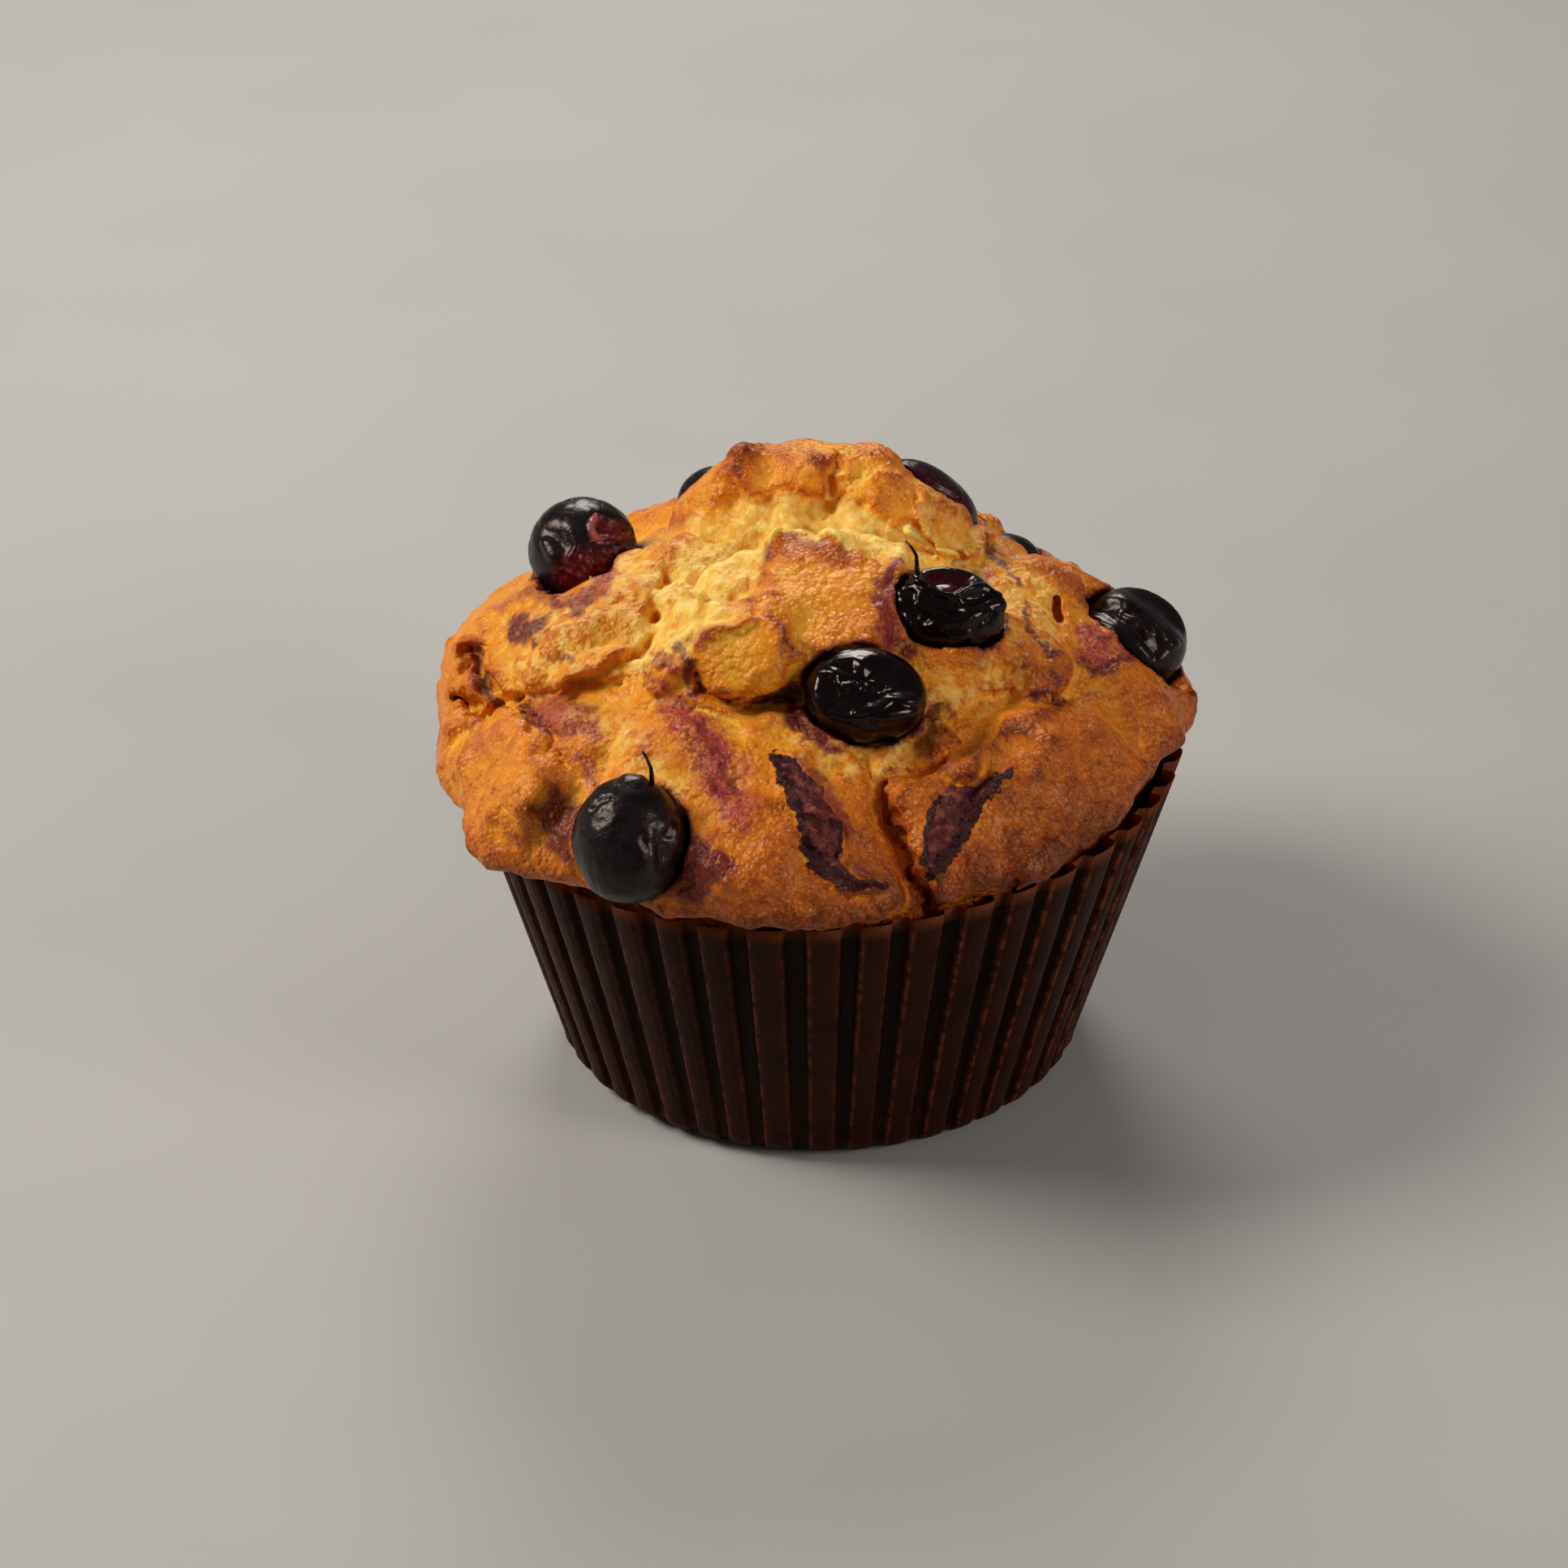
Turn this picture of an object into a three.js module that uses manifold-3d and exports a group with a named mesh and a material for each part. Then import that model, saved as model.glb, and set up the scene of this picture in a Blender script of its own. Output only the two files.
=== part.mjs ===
// A berry muffin in a pleated paper case. Millimetres, +Z up, the origin under the middle of the base.
// The muffin is a dome that has risen over the rim of its case, with lobes, cracks and a torn ridge
// behind its middle. Its outline seen from DOME_CENTRE is one radius for each direction. A direction
// is written as a place on a flat map of the dome: x to the right and y to the back, in degrees from
// the vertical axis, so (0, 0) is straight up and 90 degrees away is level.
import * as THREE from "three";
import { mergeVertices } from "three/addons/utils/BufferGeometryUtils.js";
import Module from "manifold-3d";

const wasm = await Module();
wasm.setup();

// Paper case
const BASE_RADIUS = 26.7;
const CORNER = 3.1;
const RIM_RADIUS = 35.2;
const RIM_HEIGHT = 31.9;
const RIM_LEAN = 2.3; // the rim stands this much higher on the right, and lower on the left
const FLUTES = 44;
const FLUTE_STEPS = 4;
const FLUTE_DEPTH_LOW = 0.7;
const FLUTE_DEPTH_RIM = 1.3;
const CORNER_STEP = 0.3; // the corner's middle ring is at this share of its size
const PAPER = 0.4;
const GAP = 0.3;

// Muffin
const DOME_CENTRE = new THREE.Vector3(0, 0, 34);
const DOME_RISE = 19;
const DOME_POWER = 1.65;
const AROUND = 90;
const DOME_ROWS = 25;
const LIP_ROUND = 2.4;
const LIP_CLEARANCE = 0.6;
const LIP_STEPS = [-0.2, 0.4, 0.8, 1.3, 1.8, LIP_ROUND];
const SOFT_JOIN = 1.6; // how widely neighbouring lobes melt together

// Uneven crust: sizes of the noise on the map in degrees, and how far it shifts or lifts the crust
const WARP = 3.2;
const WARP_BROAD = 11;
const WARP_SMALL = 5;
const ROUGH = 0.35;
const ROUGH_BROAD = 9;
const ROUGH_SMALL = 4.5;
const CRACK_POWER = 1.3;

// The widest ring of the dome: azimuth in degrees from +X, radius, height of its lower lip
const RING = [
  [-180, 38.2, 30.8],
  [-165, 38.4, 30.5],
  [-152, 38.0, 30.5],
  [-140, 38.0, 30.8],
  [-122, 37.6, 31.4],
  [-105, 37.0, 32.0],
  [-74, 36.2, 32.6],
  [-66, 35.2, 33.0],
  [-55, 35.9, 33.4],
  [-42, 34.4, 34.3],
  [-20, 34.6, 35.6],
  [-10, 37.6, 34.8],
  [0, 38.4, 34.6],
  [40, 37.8, 34.2],
  [70, 38.0, 33.4],
  [120, 38.0, 32.0],
  [150, 37.6, 31.2],
  [180, 38.2, 30.8],
];

// Lobes swell the dome: place on the map, half sizes in degrees, turn in degrees, height, flat share
const LOBES = [
  { name: "ridge", x: -3, y: 29, length: 50, width: 22, turn: 0, height: 7.7, flat: 0.25 },
  { name: "ridge left", x: -16, y: 24, length: 16, width: 12, turn: 0, height: 8.4, flat: 0.1 },
  { name: "ridge right", x: 20, y: 20, length: 24, width: 18, turn: 0, height: 5.6, flat: 0.25 },
  { name: "shoulder", x: -68, y: 18, length: 34, width: 40, turn: 0, height: 2.7, flat: 0.2 },
  { name: "slope", x: -38, y: 8, length: 26, width: 14, turn: 50, height: 2.2, flat: 0.1 },
  { name: "left", x: -60, y: -6, length: 24, width: 22, turn: -35, height: 2.7, flat: 0.45 },
  { name: "front", x: -3, y: -22, length: 44, width: 34, turn: 20, height: 3.5, flat: 0.55 },
  { name: "right", x: 68, y: -58, length: 46, width: 25, turn: 40, height: 2.0, flat: 0.6 },
  { name: "low left", x: -66, y: -44, length: 20, width: 26, turn: 5, height: 1.8, flat: 0.5 },
  { name: "mid left", x: -34, y: -64, length: 20, width: 22, turn: 0, height: 1.1, flat: 0.4 },
  { name: "low middle", x: -6, y: -82, length: 34, width: 18, turn: 0, height: 1.4, flat: 0.5 },
  { name: "right bump", x: 60, y: 14, length: 18, width: 14, turn: 0, height: 2.4, flat: 0.3 },
  { name: "right top", x: 44, y: -28, length: 28, width: 18, turn: 30, height: 2.6, flat: 0.4 },
  { name: "back", x: 10, y: 74, length: 60, width: 30, turn: 0, height: 2.0, flat: 0.3 },
  { name: "back left", x: -34, y: 62, length: 36, width: 24, turn: 0, height: 2.6, flat: 0.3 },
];

// Plates are flakes of crust that lie on the lobes
const PLATES = [
  { name: "plate", x: -22, y: -40, length: 18, width: 13, turn: 14, height: 1.5, flat: 0.7 },
  { name: "small plate", x: 30, y: -60, length: 8, width: 7, turn: 0, height: 0.8, flat: 0.6 },
  { name: "back plate", x: 36, y: 62, length: 18, width: 12, turn: -20, height: 1.1, flat: 0.6 },
];

// Cracks and creases: points on the map, width in degrees, depth
const CRACKS = [
  { name: "left crease", path: [[-78, -22], [-60, -31], [-46, -42]], width: 4.5, depth: 1.6 },
  { name: "edge crease", path: [[-70, 8], [-73, -14], [-79, -23]], width: 3.5, depth: 1.6 },
  { name: "front crack", path: [[10, -64], [15, -75], [19, -82], [24, -96]], width: 2.4, depth: 2.0 },
  { name: "plate crack", path: [[-32, -52], [-19, -56], [-4, -54]], width: 2.4, depth: 1.3 },
  { name: "right crease", path: [[22, -62], [40, -50], [62, -32]], width: 4, depth: 1.6 },
  { name: "low crease", path: [[-50, -52], [-48, -70], [-50, -86]], width: 4, depth: 0.8 },
  { name: "back crease", path: [[-60, 50], [-20, 84], [30, 92]], width: 4, depth: 1.2 },
  { name: "back crack", path: [[40, 40], [52, 66], [50, 90]], width: 3, depth: 1.6 },
];

// Berries: middle, half sizes, and turns in degrees about X, Y and Z
const BERRIES = {
  berry_left_top: { at: [-23.5, 10, 48.6], size: [5.7, 5.7, 5.5], turn: [0, 0, 0] },
  berry_front_left: { at: [-18, -31.5, 39.9], size: [5.7, 5.7, 5.5], turn: [55, -20, 0] },
  berry_centre: { at: [4.1, -20.3, 49], size: [6.1, 5, 4.1], turn: [28, 6, -4] },
  berry_upper: { at: [12.3, -10, 52.6], size: [5.6, 4.4, 3.7], turn: [24, 12, -8] },
  berry_right: { at: [31, 3.7, 42.1], size: [5.6, 5.6, 5.2], turn: [0, 30, 0] },
  berry_top: { at: [11.1, 13.5, 52.5], size: [5.8, 3.8, 3], turn: [0, 39, 0] },
  berry_back_left: { at: [-10.2, 15.8, 50.9], size: [4.2, 4.2, 4], turn: [-30, 0, 0] },
  berry_back_right: { at: [18.6, 15, 43.7], size: [4.2, 4.2, 4], turn: [0, 0, 0] },
  berry_back_low: { at: [4, 30.5, 43.9], size: [5.6, 5.4, 5.2], turn: [-60, 0, 0] },
  berry_back_side: { at: [-23, 25.8, 39.7], size: [5.2, 5.2, 5], turn: [-50, -30, 0] },
};
const BERRY_SEGMENTS = 16;
const BERRY_RINGS = 9;
const WRINKLE = 0.05;
const CROWN_DEPTH = 0.1;
const CROWN_START = 0.93;

const CRUST = { color: 0xb8651f, roughness: 0.6, metalness: 0 };
const PAPER_BROWN = { color: 0x2a1007, roughness: 0.55, metalness: 0 };
const BERRY_SKIN = { color: 0x160b10, roughness: 0.25, metalness: 0 };

const radians = THREE.MathUtils.degToRad;
const clamp = THREE.MathUtils.clamp;
const lerp = THREE.MathUtils.lerp;

function smoothstep(low, high, value) {
  const t = clamp((value - low) / (high - low), 0, 1);
  return t * t * (3 - 2 * t);
}

// The larger of two values, with a rounded change between them
function softMax(a, b, width) {
  const t = clamp(0.5 + (0.5 * (a - b)) / width, 0, 1);
  return lerp(b, a, t) + width * t * (1 - t);
}

// Fixed random numbers on a lattice, blended smoothly between its corners, from -1 to 1
function latticeValue(i, j, k) {
  const value = Math.sin(i * 127.1 + j * 311.7 + k * 74.7) * 43758.5453;
  return value - Math.floor(value);
}

function noise(x, y, z) {
  const corner = [Math.floor(x), Math.floor(y), Math.floor(z)];
  const share = [x - corner[0], y - corner[1], z - corner[2]].map((f) => f * f * (3 - 2 * f));
  let sum = 0;
  for (const i of [0, 1]) {
    for (const j of [0, 1]) {
      for (const k of [0, 1]) {
        const weight =
          (i ? share[0] : 1 - share[0]) * (j ? share[1] : 1 - share[1]) * (k ? share[2] : 1 - share[2]);
        sum += weight * latticeValue(corner[0] + i, corner[1] + j, corner[2] + k);
      }
    }
  }
  return sum * 2 - 1;
}

// A value of the ring's table at any azimuth, eased from one line to the next
function ringValue(azimuth, column) {
  const degrees = THREE.MathUtils.radToDeg(azimuth);
  const next = RING.findIndex((line, index) => index > 0 && degrees <= line[0]);
  const after = RING[next];
  const before = RING[next - 1];
  return lerp(before[column], after[column], smoothstep(before[0], after[0], degrees));
}

const rimHeight = (azimuth) => RIM_HEIGHT + RIM_LEAN * Math.cos(azimuth);
const lipHeight = (azimuth) => Math.max(ringValue(azimuth, 2), rimHeight(azimuth) + LIP_CLEARANCE);

// The case is a cone over its rounded corner, cut off at its rim
const WALL_HEIGHT = RIM_HEIGHT - CORNER;
const wallRadius = (z) => lerp(BASE_RADIUS, RIM_RADIUS, (z - CORNER) / WALL_HEIGHT);
const fluteDepth = (z) => lerp(FLUTE_DEPTH_LOW, FLUTE_DEPTH_RIM, (z - CORNER) / WALL_HEIGHT);

// The muffin's side fills the case
const sideRadius = (z) => wallRadius(z) - fluteDepth(z) - PAPER - GAP;
const SIDE_LOW = sideRadius(CORNER);
const SIDE_SLOPE = (sideRadius(RIM_HEIGHT) - SIDE_LOW) / WALL_HEIGHT;

// How much of a lobe or plate shows at a place on the map: 1 on its flat top and 0 outside
function swelling(lobe, x, y) {
  const turn = radians(lobe.turn);
  const dx = x - lobe.x;
  const dy = y - lobe.y;
  const along = (dx * Math.cos(turn) + dy * Math.sin(turn)) / lobe.length;
  const across = (dy * Math.cos(turn) - dx * Math.sin(turn)) / lobe.width;
  return 1 - smoothstep(lobe.flat, 1, Math.hypot(along, across));
}

function distanceToPath(path, x, y) {
  let nearest = Infinity;
  for (let i = 1; i < path.length; i++) {
    const [ax, ay] = path[i - 1];
    const bx = path[i][0] - ax;
    const by = path[i][1] - ay;
    const t = clamp(((x - ax) * bx + (y - ay) * by) / (bx * bx + by * by), 0, 1);
    nearest = Math.min(nearest, Math.hypot(x - ax - t * bx, y - ay - t * by));
  }
  return nearest;
}

// Height of the crust's relief over the plain dome
function relief(mapX, mapY) {
  const broad = (shift, layer) => noise(mapX / WARP_BROAD + shift, mapY / WARP_BROAD, layer);
  const small = (shift, layer) => noise(mapX / WARP_SMALL + shift, mapY / WARP_SMALL, layer);
  const x = mapX + WARP * (broad(3.1, 0.5) + 0.5 * small(7, 2.5));
  const y = mapY + WARP * (broad(31, 5.5) + 0.5 * small(17, 7.5));
  const rough = (size, layer) => ROUGH * noise(x / size, y / size, layer);
  let height = rough(ROUGH_BROAD, 9.5) + rough(ROUGH_SMALL, 11.5);
  for (const lobe of LOBES) {
    height = softMax(height, (lobe.height + SOFT_JOIN) * swelling(lobe, x, y) - SOFT_JOIN, SOFT_JOIN);
  }
  for (const plate of PLATES) {
    height += plate.height * swelling(plate, x, y);
  }
  for (const crack of CRACKS) {
    const away = distanceToPath(crack.path, x, y) / crack.width;
    height -= crack.depth * Math.exp(-(away ** CRACK_POWER));
  }
  return height;
}

// Distance from the dome's centre to the muffin's surface in one direction
function surfaceRadius(azimuth, tilt) {
  const level = Math.sin(tilt);
  const rise = Math.cos(tilt);
  const plain =
    ((level / ringValue(azimuth, 1)) ** DOME_POWER + (Math.abs(rise) / DOME_RISE) ** DOME_POWER) **
    (-1 / DOME_POWER);
  const degrees = THREE.MathUtils.radToDeg(tilt);
  const dome = plain + relief(degrees * Math.cos(azimuth), degrees * Math.sin(azimuth));
  const side = sideRadius(DOME_CENTRE.z) / (level - SIDE_SLOPE * rise);
  const sideHeight = DOME_CENTRE.z + side * rise;
  const lip = lipHeight(azimuth);
  return side > 0 ? lerp(side, dome, smoothstep(lip + LIP_STEPS[0], lip + LIP_ROUND, sideHeight)) : dome;
}

// One closed body from rings of points between two end points, lowest or outermost first
function loft(first, rings, last) {
  const points = [first, ...rings.flat(), last];
  const count = rings[0].length;
  const index = [];
  const at = (ring, step) => 1 + ring * count + (step % count);
  for (let step = 0; step < count; step++) {
    index.push(0, at(0, step + 1), at(0, step));
    for (let ring = 0; ring + 1 < rings.length; ring++) {
      const [a, b] = [at(ring, step), at(ring, step + 1)];
      const [c, d] = [at(ring + 1, step + 1), at(ring + 1, step)];
      index.push(a, b, c, a, c, d);
    }
    index.push(points.length - 1, at(rings.length - 1, step), at(rings.length - 1, step + 1));
  }
  const geometry = new THREE.BufferGeometry().setFromPoints(points);
  geometry.setIndex(index);
  return geometry;
}

function ringOf(count, pointAt) {
  const step = (2 * Math.PI) / count;
  return Array.from({ length: count }, (_, i) => pointAt(i * step - Math.PI));
}

const polar = (radius, azimuth, z) =>
  new THREE.Vector3(radius * Math.cos(azimuth), radius * Math.sin(azimuth), z);

function onSurface(azimuth, tilt) {
  const radius = surfaceRadius(azimuth, tilt);
  return polar(radius * Math.sin(tilt), azimuth, DOME_CENTRE.z + radius * Math.cos(tilt));
}

// The tilt at which the muffin's side reaches a height above or below the lip
function tiltAtLip(azimuth, above) {
  const z = lipHeight(azimuth) + above;
  return Math.atan2(sideRadius(z), z - DOME_CENTRE.z);
}

function muffinGeometry() {
  const floor = PAPER + GAP;
  const corner = CORNER - GAP;
  const rings = [
    ringOf(AROUND, (azimuth) => polar(SIDE_LOW - corner, azimuth, floor)),
    ringOf(AROUND, (azimuth) => polar(SIDE_LOW, azimuth, CORNER)),
  ];
  for (const above of LIP_STEPS) {
    rings.push(ringOf(AROUND, (azimuth) => onSurface(azimuth, tiltAtLip(azimuth, above))));
  }
  for (let row = DOME_ROWS - 1; row > 0; row--) {
    const share = row / DOME_ROWS;
    rings.push(ringOf(AROUND, (azimuth) => onSurface(azimuth, share * tiltAtLip(azimuth, LIP_ROUND))));
  }
  return loft(new THREE.Vector3(0, 0, floor), rings, onSurface(0, 0));
}

// A ring of the case's pleats, at its corner or its rim, on its outer or inner face
function caseRing(heightAt, inside) {
  return ringOf(FLUTES * FLUTE_STEPS, (azimuth) => {
    const z = heightAt(azimuth);
    const crease = 1 - Math.abs(Math.cos((azimuth * FLUTES) / 2));
    const radius = wallRadius(z) - fluteDepth(z) * crease;
    return polar(inside ? radius - PAPER : radius, azimuth, z);
  });
}

function paperCaseGeometry() {
  const steps = FLUTES * FLUTE_STEPS;
  const low = BASE_RADIUS - FLUTE_DEPTH_LOW;
  const rings = [
    ringOf(steps, (azimuth) => polar(low - CORNER, azimuth, 0)),
    ringOf(steps, (azimuth) => polar(low - CORNER_STEP * CORNER, azimuth, CORNER_STEP * CORNER)),
    caseRing(() => CORNER, false),
    caseRing(rimHeight, false),
    caseRing(rimHeight, true),
    caseRing(() => CORNER, true),
    ringOf(steps, (azimuth) => polar(low - CORNER, azimuth, PAPER)),
  ];
  return loft(new THREE.Vector3(0, 0, 0), rings, new THREE.Vector3(0, 0, PAPER));
}

// A berry with a wrinkled skin and a small sunken crown. Grown berries cut the sockets.
function berryGeometry(berry, grow) {
  const geometry = new THREE.SphereGeometry(1, BERRY_SEGMENTS, BERRY_RINGS);
  geometry.deleteAttribute("normal");
  geometry.deleteAttribute("uv");
  geometry.rotateX(Math.PI / 2);
  const merged = mergeVertices(geometry);
  const place = merged.getAttribute("position");
  const point = new THREE.Vector3();
  for (let i = 0; i < place.count; i++) {
    point.fromBufferAttribute(place, i);
    const wrinkle = WRINKLE * (noise(2 * point.x + berry.at[0], 2 * point.y, 2 * point.z) - 1);
    const crown = CROWN_DEPTH * smoothstep(CROWN_START, 1, point.z);
    point.multiplyScalar(grow ? 1 : 1 + wrinkle - crown);
    point.set(...berry.size.map((size, axis) => (size + grow) * point.getComponent(axis)));
    place.setXYZ(i, point.x, point.y, point.z);
  }
  const turn = new THREE.Euler(...berry.turn.map(radians));
  merged.applyMatrix4(new THREE.Matrix4().makeRotationFromEuler(turn));
  return merged;
}

function toManifold(geometry) {
  return new wasm.Manifold(
    new wasm.Mesh({
      numProp: 3,
      vertProperties: Float32Array.from(geometry.getAttribute("position").array),
      triVerts: Uint32Array.from(geometry.getIndex().array),
    }),
  );
}

function fromManifold(solid) {
  const mesh = solid.getMesh();
  const geometry = new THREE.BufferGeometry();
  geometry.setAttribute("position", new THREE.BufferAttribute(mesh.vertProperties, 3));
  geometry.setIndex(new THREE.BufferAttribute(mesh.triVerts, 1));
  return geometry;
}

// The muffin with a socket for each berry
function muffinWithSockets() {
  let solid = toManifold(muffinGeometry());
  for (const berry of Object.values(BERRIES)) {
    const socket = berryGeometry(berry, GAP);
    socket.translate(...berry.at);
    solid = solid.subtract(toManifold(socket));
  }
  return fromManifold(solid);
}

function piece(name, geometry, look) {
  const mesh = new THREE.Mesh(geometry, new THREE.MeshStandardMaterial(look));
  mesh.name = name;
  geometry.computeVertexNormals();
  return mesh;
}

const muffin = new THREE.Group();
muffin.add(piece("muffin", muffinWithSockets(), CRUST));
muffin.add(piece("paper_case", paperCaseGeometry(), PAPER_BROWN));
for (const [name, berry] of Object.entries(BERRIES)) {
  const mesh = piece(name, berryGeometry(berry, 0), BERRY_SKIN);
  mesh.position.set(...berry.at);
  muffin.add(mesh);
}

export default muffin;
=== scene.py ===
"""The looks of a berry muffin in a dark pleated paper case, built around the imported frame.

Shapes are worked out in millimetres and turned into metres when a mesh is made. A direction from the
middle of the dome is written as a place on a flat map: x to the right and y to the back, in degrees
from the vertical axis. Stains, tears and cracks are painted as strokes of pixels of the photograph,
which the camera's own projection puts on the surface.
"""

import bpy
import numpy as np
import openvdb
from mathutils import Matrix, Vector


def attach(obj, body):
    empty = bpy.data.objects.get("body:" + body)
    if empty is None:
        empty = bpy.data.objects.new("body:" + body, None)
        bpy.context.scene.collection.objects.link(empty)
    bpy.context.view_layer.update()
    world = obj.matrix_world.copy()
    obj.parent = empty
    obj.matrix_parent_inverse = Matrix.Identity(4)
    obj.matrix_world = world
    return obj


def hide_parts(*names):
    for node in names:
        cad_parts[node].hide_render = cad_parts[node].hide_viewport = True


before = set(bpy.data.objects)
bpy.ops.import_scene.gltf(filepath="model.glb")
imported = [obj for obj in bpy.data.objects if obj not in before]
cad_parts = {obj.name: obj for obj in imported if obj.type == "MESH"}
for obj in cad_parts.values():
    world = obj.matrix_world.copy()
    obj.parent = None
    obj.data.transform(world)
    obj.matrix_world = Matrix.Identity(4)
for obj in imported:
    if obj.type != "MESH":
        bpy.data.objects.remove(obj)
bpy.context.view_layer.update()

MM = 0.001

# Camera
PHOTO_PIXELS = 1932
SENSOR = 36.0
LENS = 114.9
CAMERA_DISTANCE = 500.0
CAMERA_ELEVATION = np.radians(30)
CAMERA_TARGET = np.array([-3.57, 1.135, 26.97])
CAMERA_RIGHT = np.array([1.0, 0.0, 0.0])
CAMERA_UP = np.array([0.0, np.sin(CAMERA_ELEVATION), np.cos(CAMERA_ELEVATION)])
CAMERA_BACK = np.array([0.0, -np.cos(CAMERA_ELEVATION), np.sin(CAMERA_ELEVATION)])
CAMERA_PLACE = CAMERA_TARGET + CAMERA_DISTANCE * CAMERA_BACK
FOCAL_PIXELS = LENS / SENSOR * PHOTO_PIXELS

# Paper case
BASE_RADIUS = 26.7
CORNER = 3.1
RIM_RADIUS = 35.2
RIM_HEIGHT = 31.9
RIM_LEAN = 2.3
FLUTES = 44
FLUTE_DEPTH_LOW = 0.7
FLUTE_DEPTH_RIM = 1.3
CAD_PAPER = 0.4
PAPER = 0.16
GAP = 0.3

# Muffin
DOME_CENTRE = np.array([0.0, 0.0, 34.0])
DOME_RISE = 19.0
DOME_POWER = 1.65
LIP_ROUND = 2.4
LIP_START = -0.2
LIP_CLEARANCE = 0.6
SOFT_JOIN = 1.6

# Uneven crust: sizes of the noise on the map in degrees, and how far it shifts or lifts the crust
WARP = 3.2
WARP_BROAD = 11
WARP_SMALL = 5
ROUGH = 0.35
ROUGH_BROAD = 9
ROUGH_SMALL = 4.5
CRACK_POWER = 1.3

# The widest ring of the dome: azimuth in degrees from +X, radius, height of its lower lip
RING = [
    (-180, 38.2, 30.8),
    (-165, 38.4, 30.5),
    (-152, 38.0, 30.5),
    (-140, 38.0, 30.8),
    (-122, 37.6, 31.4),
    (-105, 37.0, 32.0),
    (-74, 36.2, 32.6),
    (-66, 35.2, 33.0),
    (-55, 35.9, 33.4),
    (-42, 34.4, 34.3),
    (-20, 34.6, 35.6),
    (-10, 37.6, 34.8),
    (0, 38.4, 34.6),
    (40, 37.8, 34.2),
    (70, 38.0, 33.4),
    (120, 38.0, 32.0),
    (150, 37.6, 31.2),
    (180, 38.2, 30.8),
]

# Lobes swell the dome: place on the map, half sizes in degrees, turn in degrees, height, flat share
LOBES = {
    "ridge": (-3, 29, 50, 22, 0, 7.7, 0.25),
    "ridge left": (-16, 24, 16, 12, 0, 8.4, 0.1),
    "ridge right": (20, 20, 24, 18, 0, 5.6, 0.25),
    "shoulder": (-68, 18, 34, 40, 0, 2.7, 0.2),
    "slope": (-38, 8, 26, 14, 50, 2.2, 0.1),
    "left": (-60, -6, 24, 22, -35, 2.7, 0.45),
    "front": (-3, -22, 44, 34, 20, 3.5, 0.55),
    "right": (68, -58, 46, 25, 40, 2.0, 0.6),
    "low left": (-66, -44, 20, 26, 5, 1.8, 0.5),
    "mid left": (-34, -64, 20, 22, 0, 1.1, 0.4),
    "low middle": (-6, -82, 34, 18, 0, 1.4, 0.5),
    "right bump": (60, 14, 18, 14, 0, 2.4, 0.3),
    "right top": (44, -28, 28, 18, 30, 2.6, 0.4),
    "back": (10, 74, 60, 30, 0, 2.0, 0.3),
    "back left": (-34, 62, 36, 24, 0, 2.6, 0.3),
}

# Plates are flakes of crust that lie on the lobes
PLATES = {
    "plate": (-22, -40, 18, 13, 14, 1.5, 0.7),
    "small plate": (30, -60, 8, 7, 0, 0.8, 0.6),
    "back plate": (36, 62, 18, 12, -20, 1.1, 0.6),
}

# Cracks and creases: points on the map, width in degrees, depth
CRACKS = {
    "left crease": ([(-78, -22), (-60, -31), (-46, -42)], 4.5, 1.6),
    "edge crease": ([(-70, 8), (-73, -14), (-79, -23)], 3.5, 1.6),
    "front crack": ([(10, -64), (15, -75), (19, -82), (24, -96)], 2.4, 2.0),
    "plate crack": ([(-32, -52), (-19, -56), (-4, -54)], 2.4, 1.3),
    "right crease": ([(22, -62), (40, -50), (62, -32)], 4, 1.6),
    "low crease": ([(-50, -52), (-48, -70), (-50, -86)], 4, 0.8),
    "back crease": ([(-60, 50), (-20, 84), (30, 92)], 4, 1.2),
    "back crack": ([(40, 40), (52, 66), (50, 90)], 3, 1.6),
}

# Berries: middle, half sizes, and turns in degrees about X, Y and Z
BERRIES = {
    "berry_left_top": ((-23.5, 10, 48.6), (5.7, 5.7, 5.5), (0, 0, 0)),
    "berry_front_left": ((-18, -31.5, 39.9), (5.7, 5.7, 5.5), (55, -20, 0)),
    "berry_centre": ((4.1, -20.3, 49), (6.1, 5, 4.1), (28, 6, -4)),
    "berry_upper": ((12.3, -10, 52.6), (5.6, 4.4, 3.7), (24, 12, -8)),
    "berry_right": ((31, 3.7, 42.1), (5.6, 5.6, 5.2), (0, 30, 0)),
    "berry_top": ((11.1, 13.5, 52.5), (5.8, 3.8, 3), (0, 39, 0)),
    "berry_back_left": ((-10.2, 15.8, 50.9), (4.2, 4.2, 4), (-30, 0, 0)),
    "berry_back_right": ((18.6, 15, 43.7), (4.2, 4.2, 4), (0, 0, 0)),
    "berry_back_low": ((4, 30.5, 43.9), (5.6, 5.4, 5.2), (-60, 0, 0)),
    "berry_back_side": ((-23, 25.8, 39.7), (5.2, 5.2, 5), (-50, -30, 0)),
}

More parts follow.
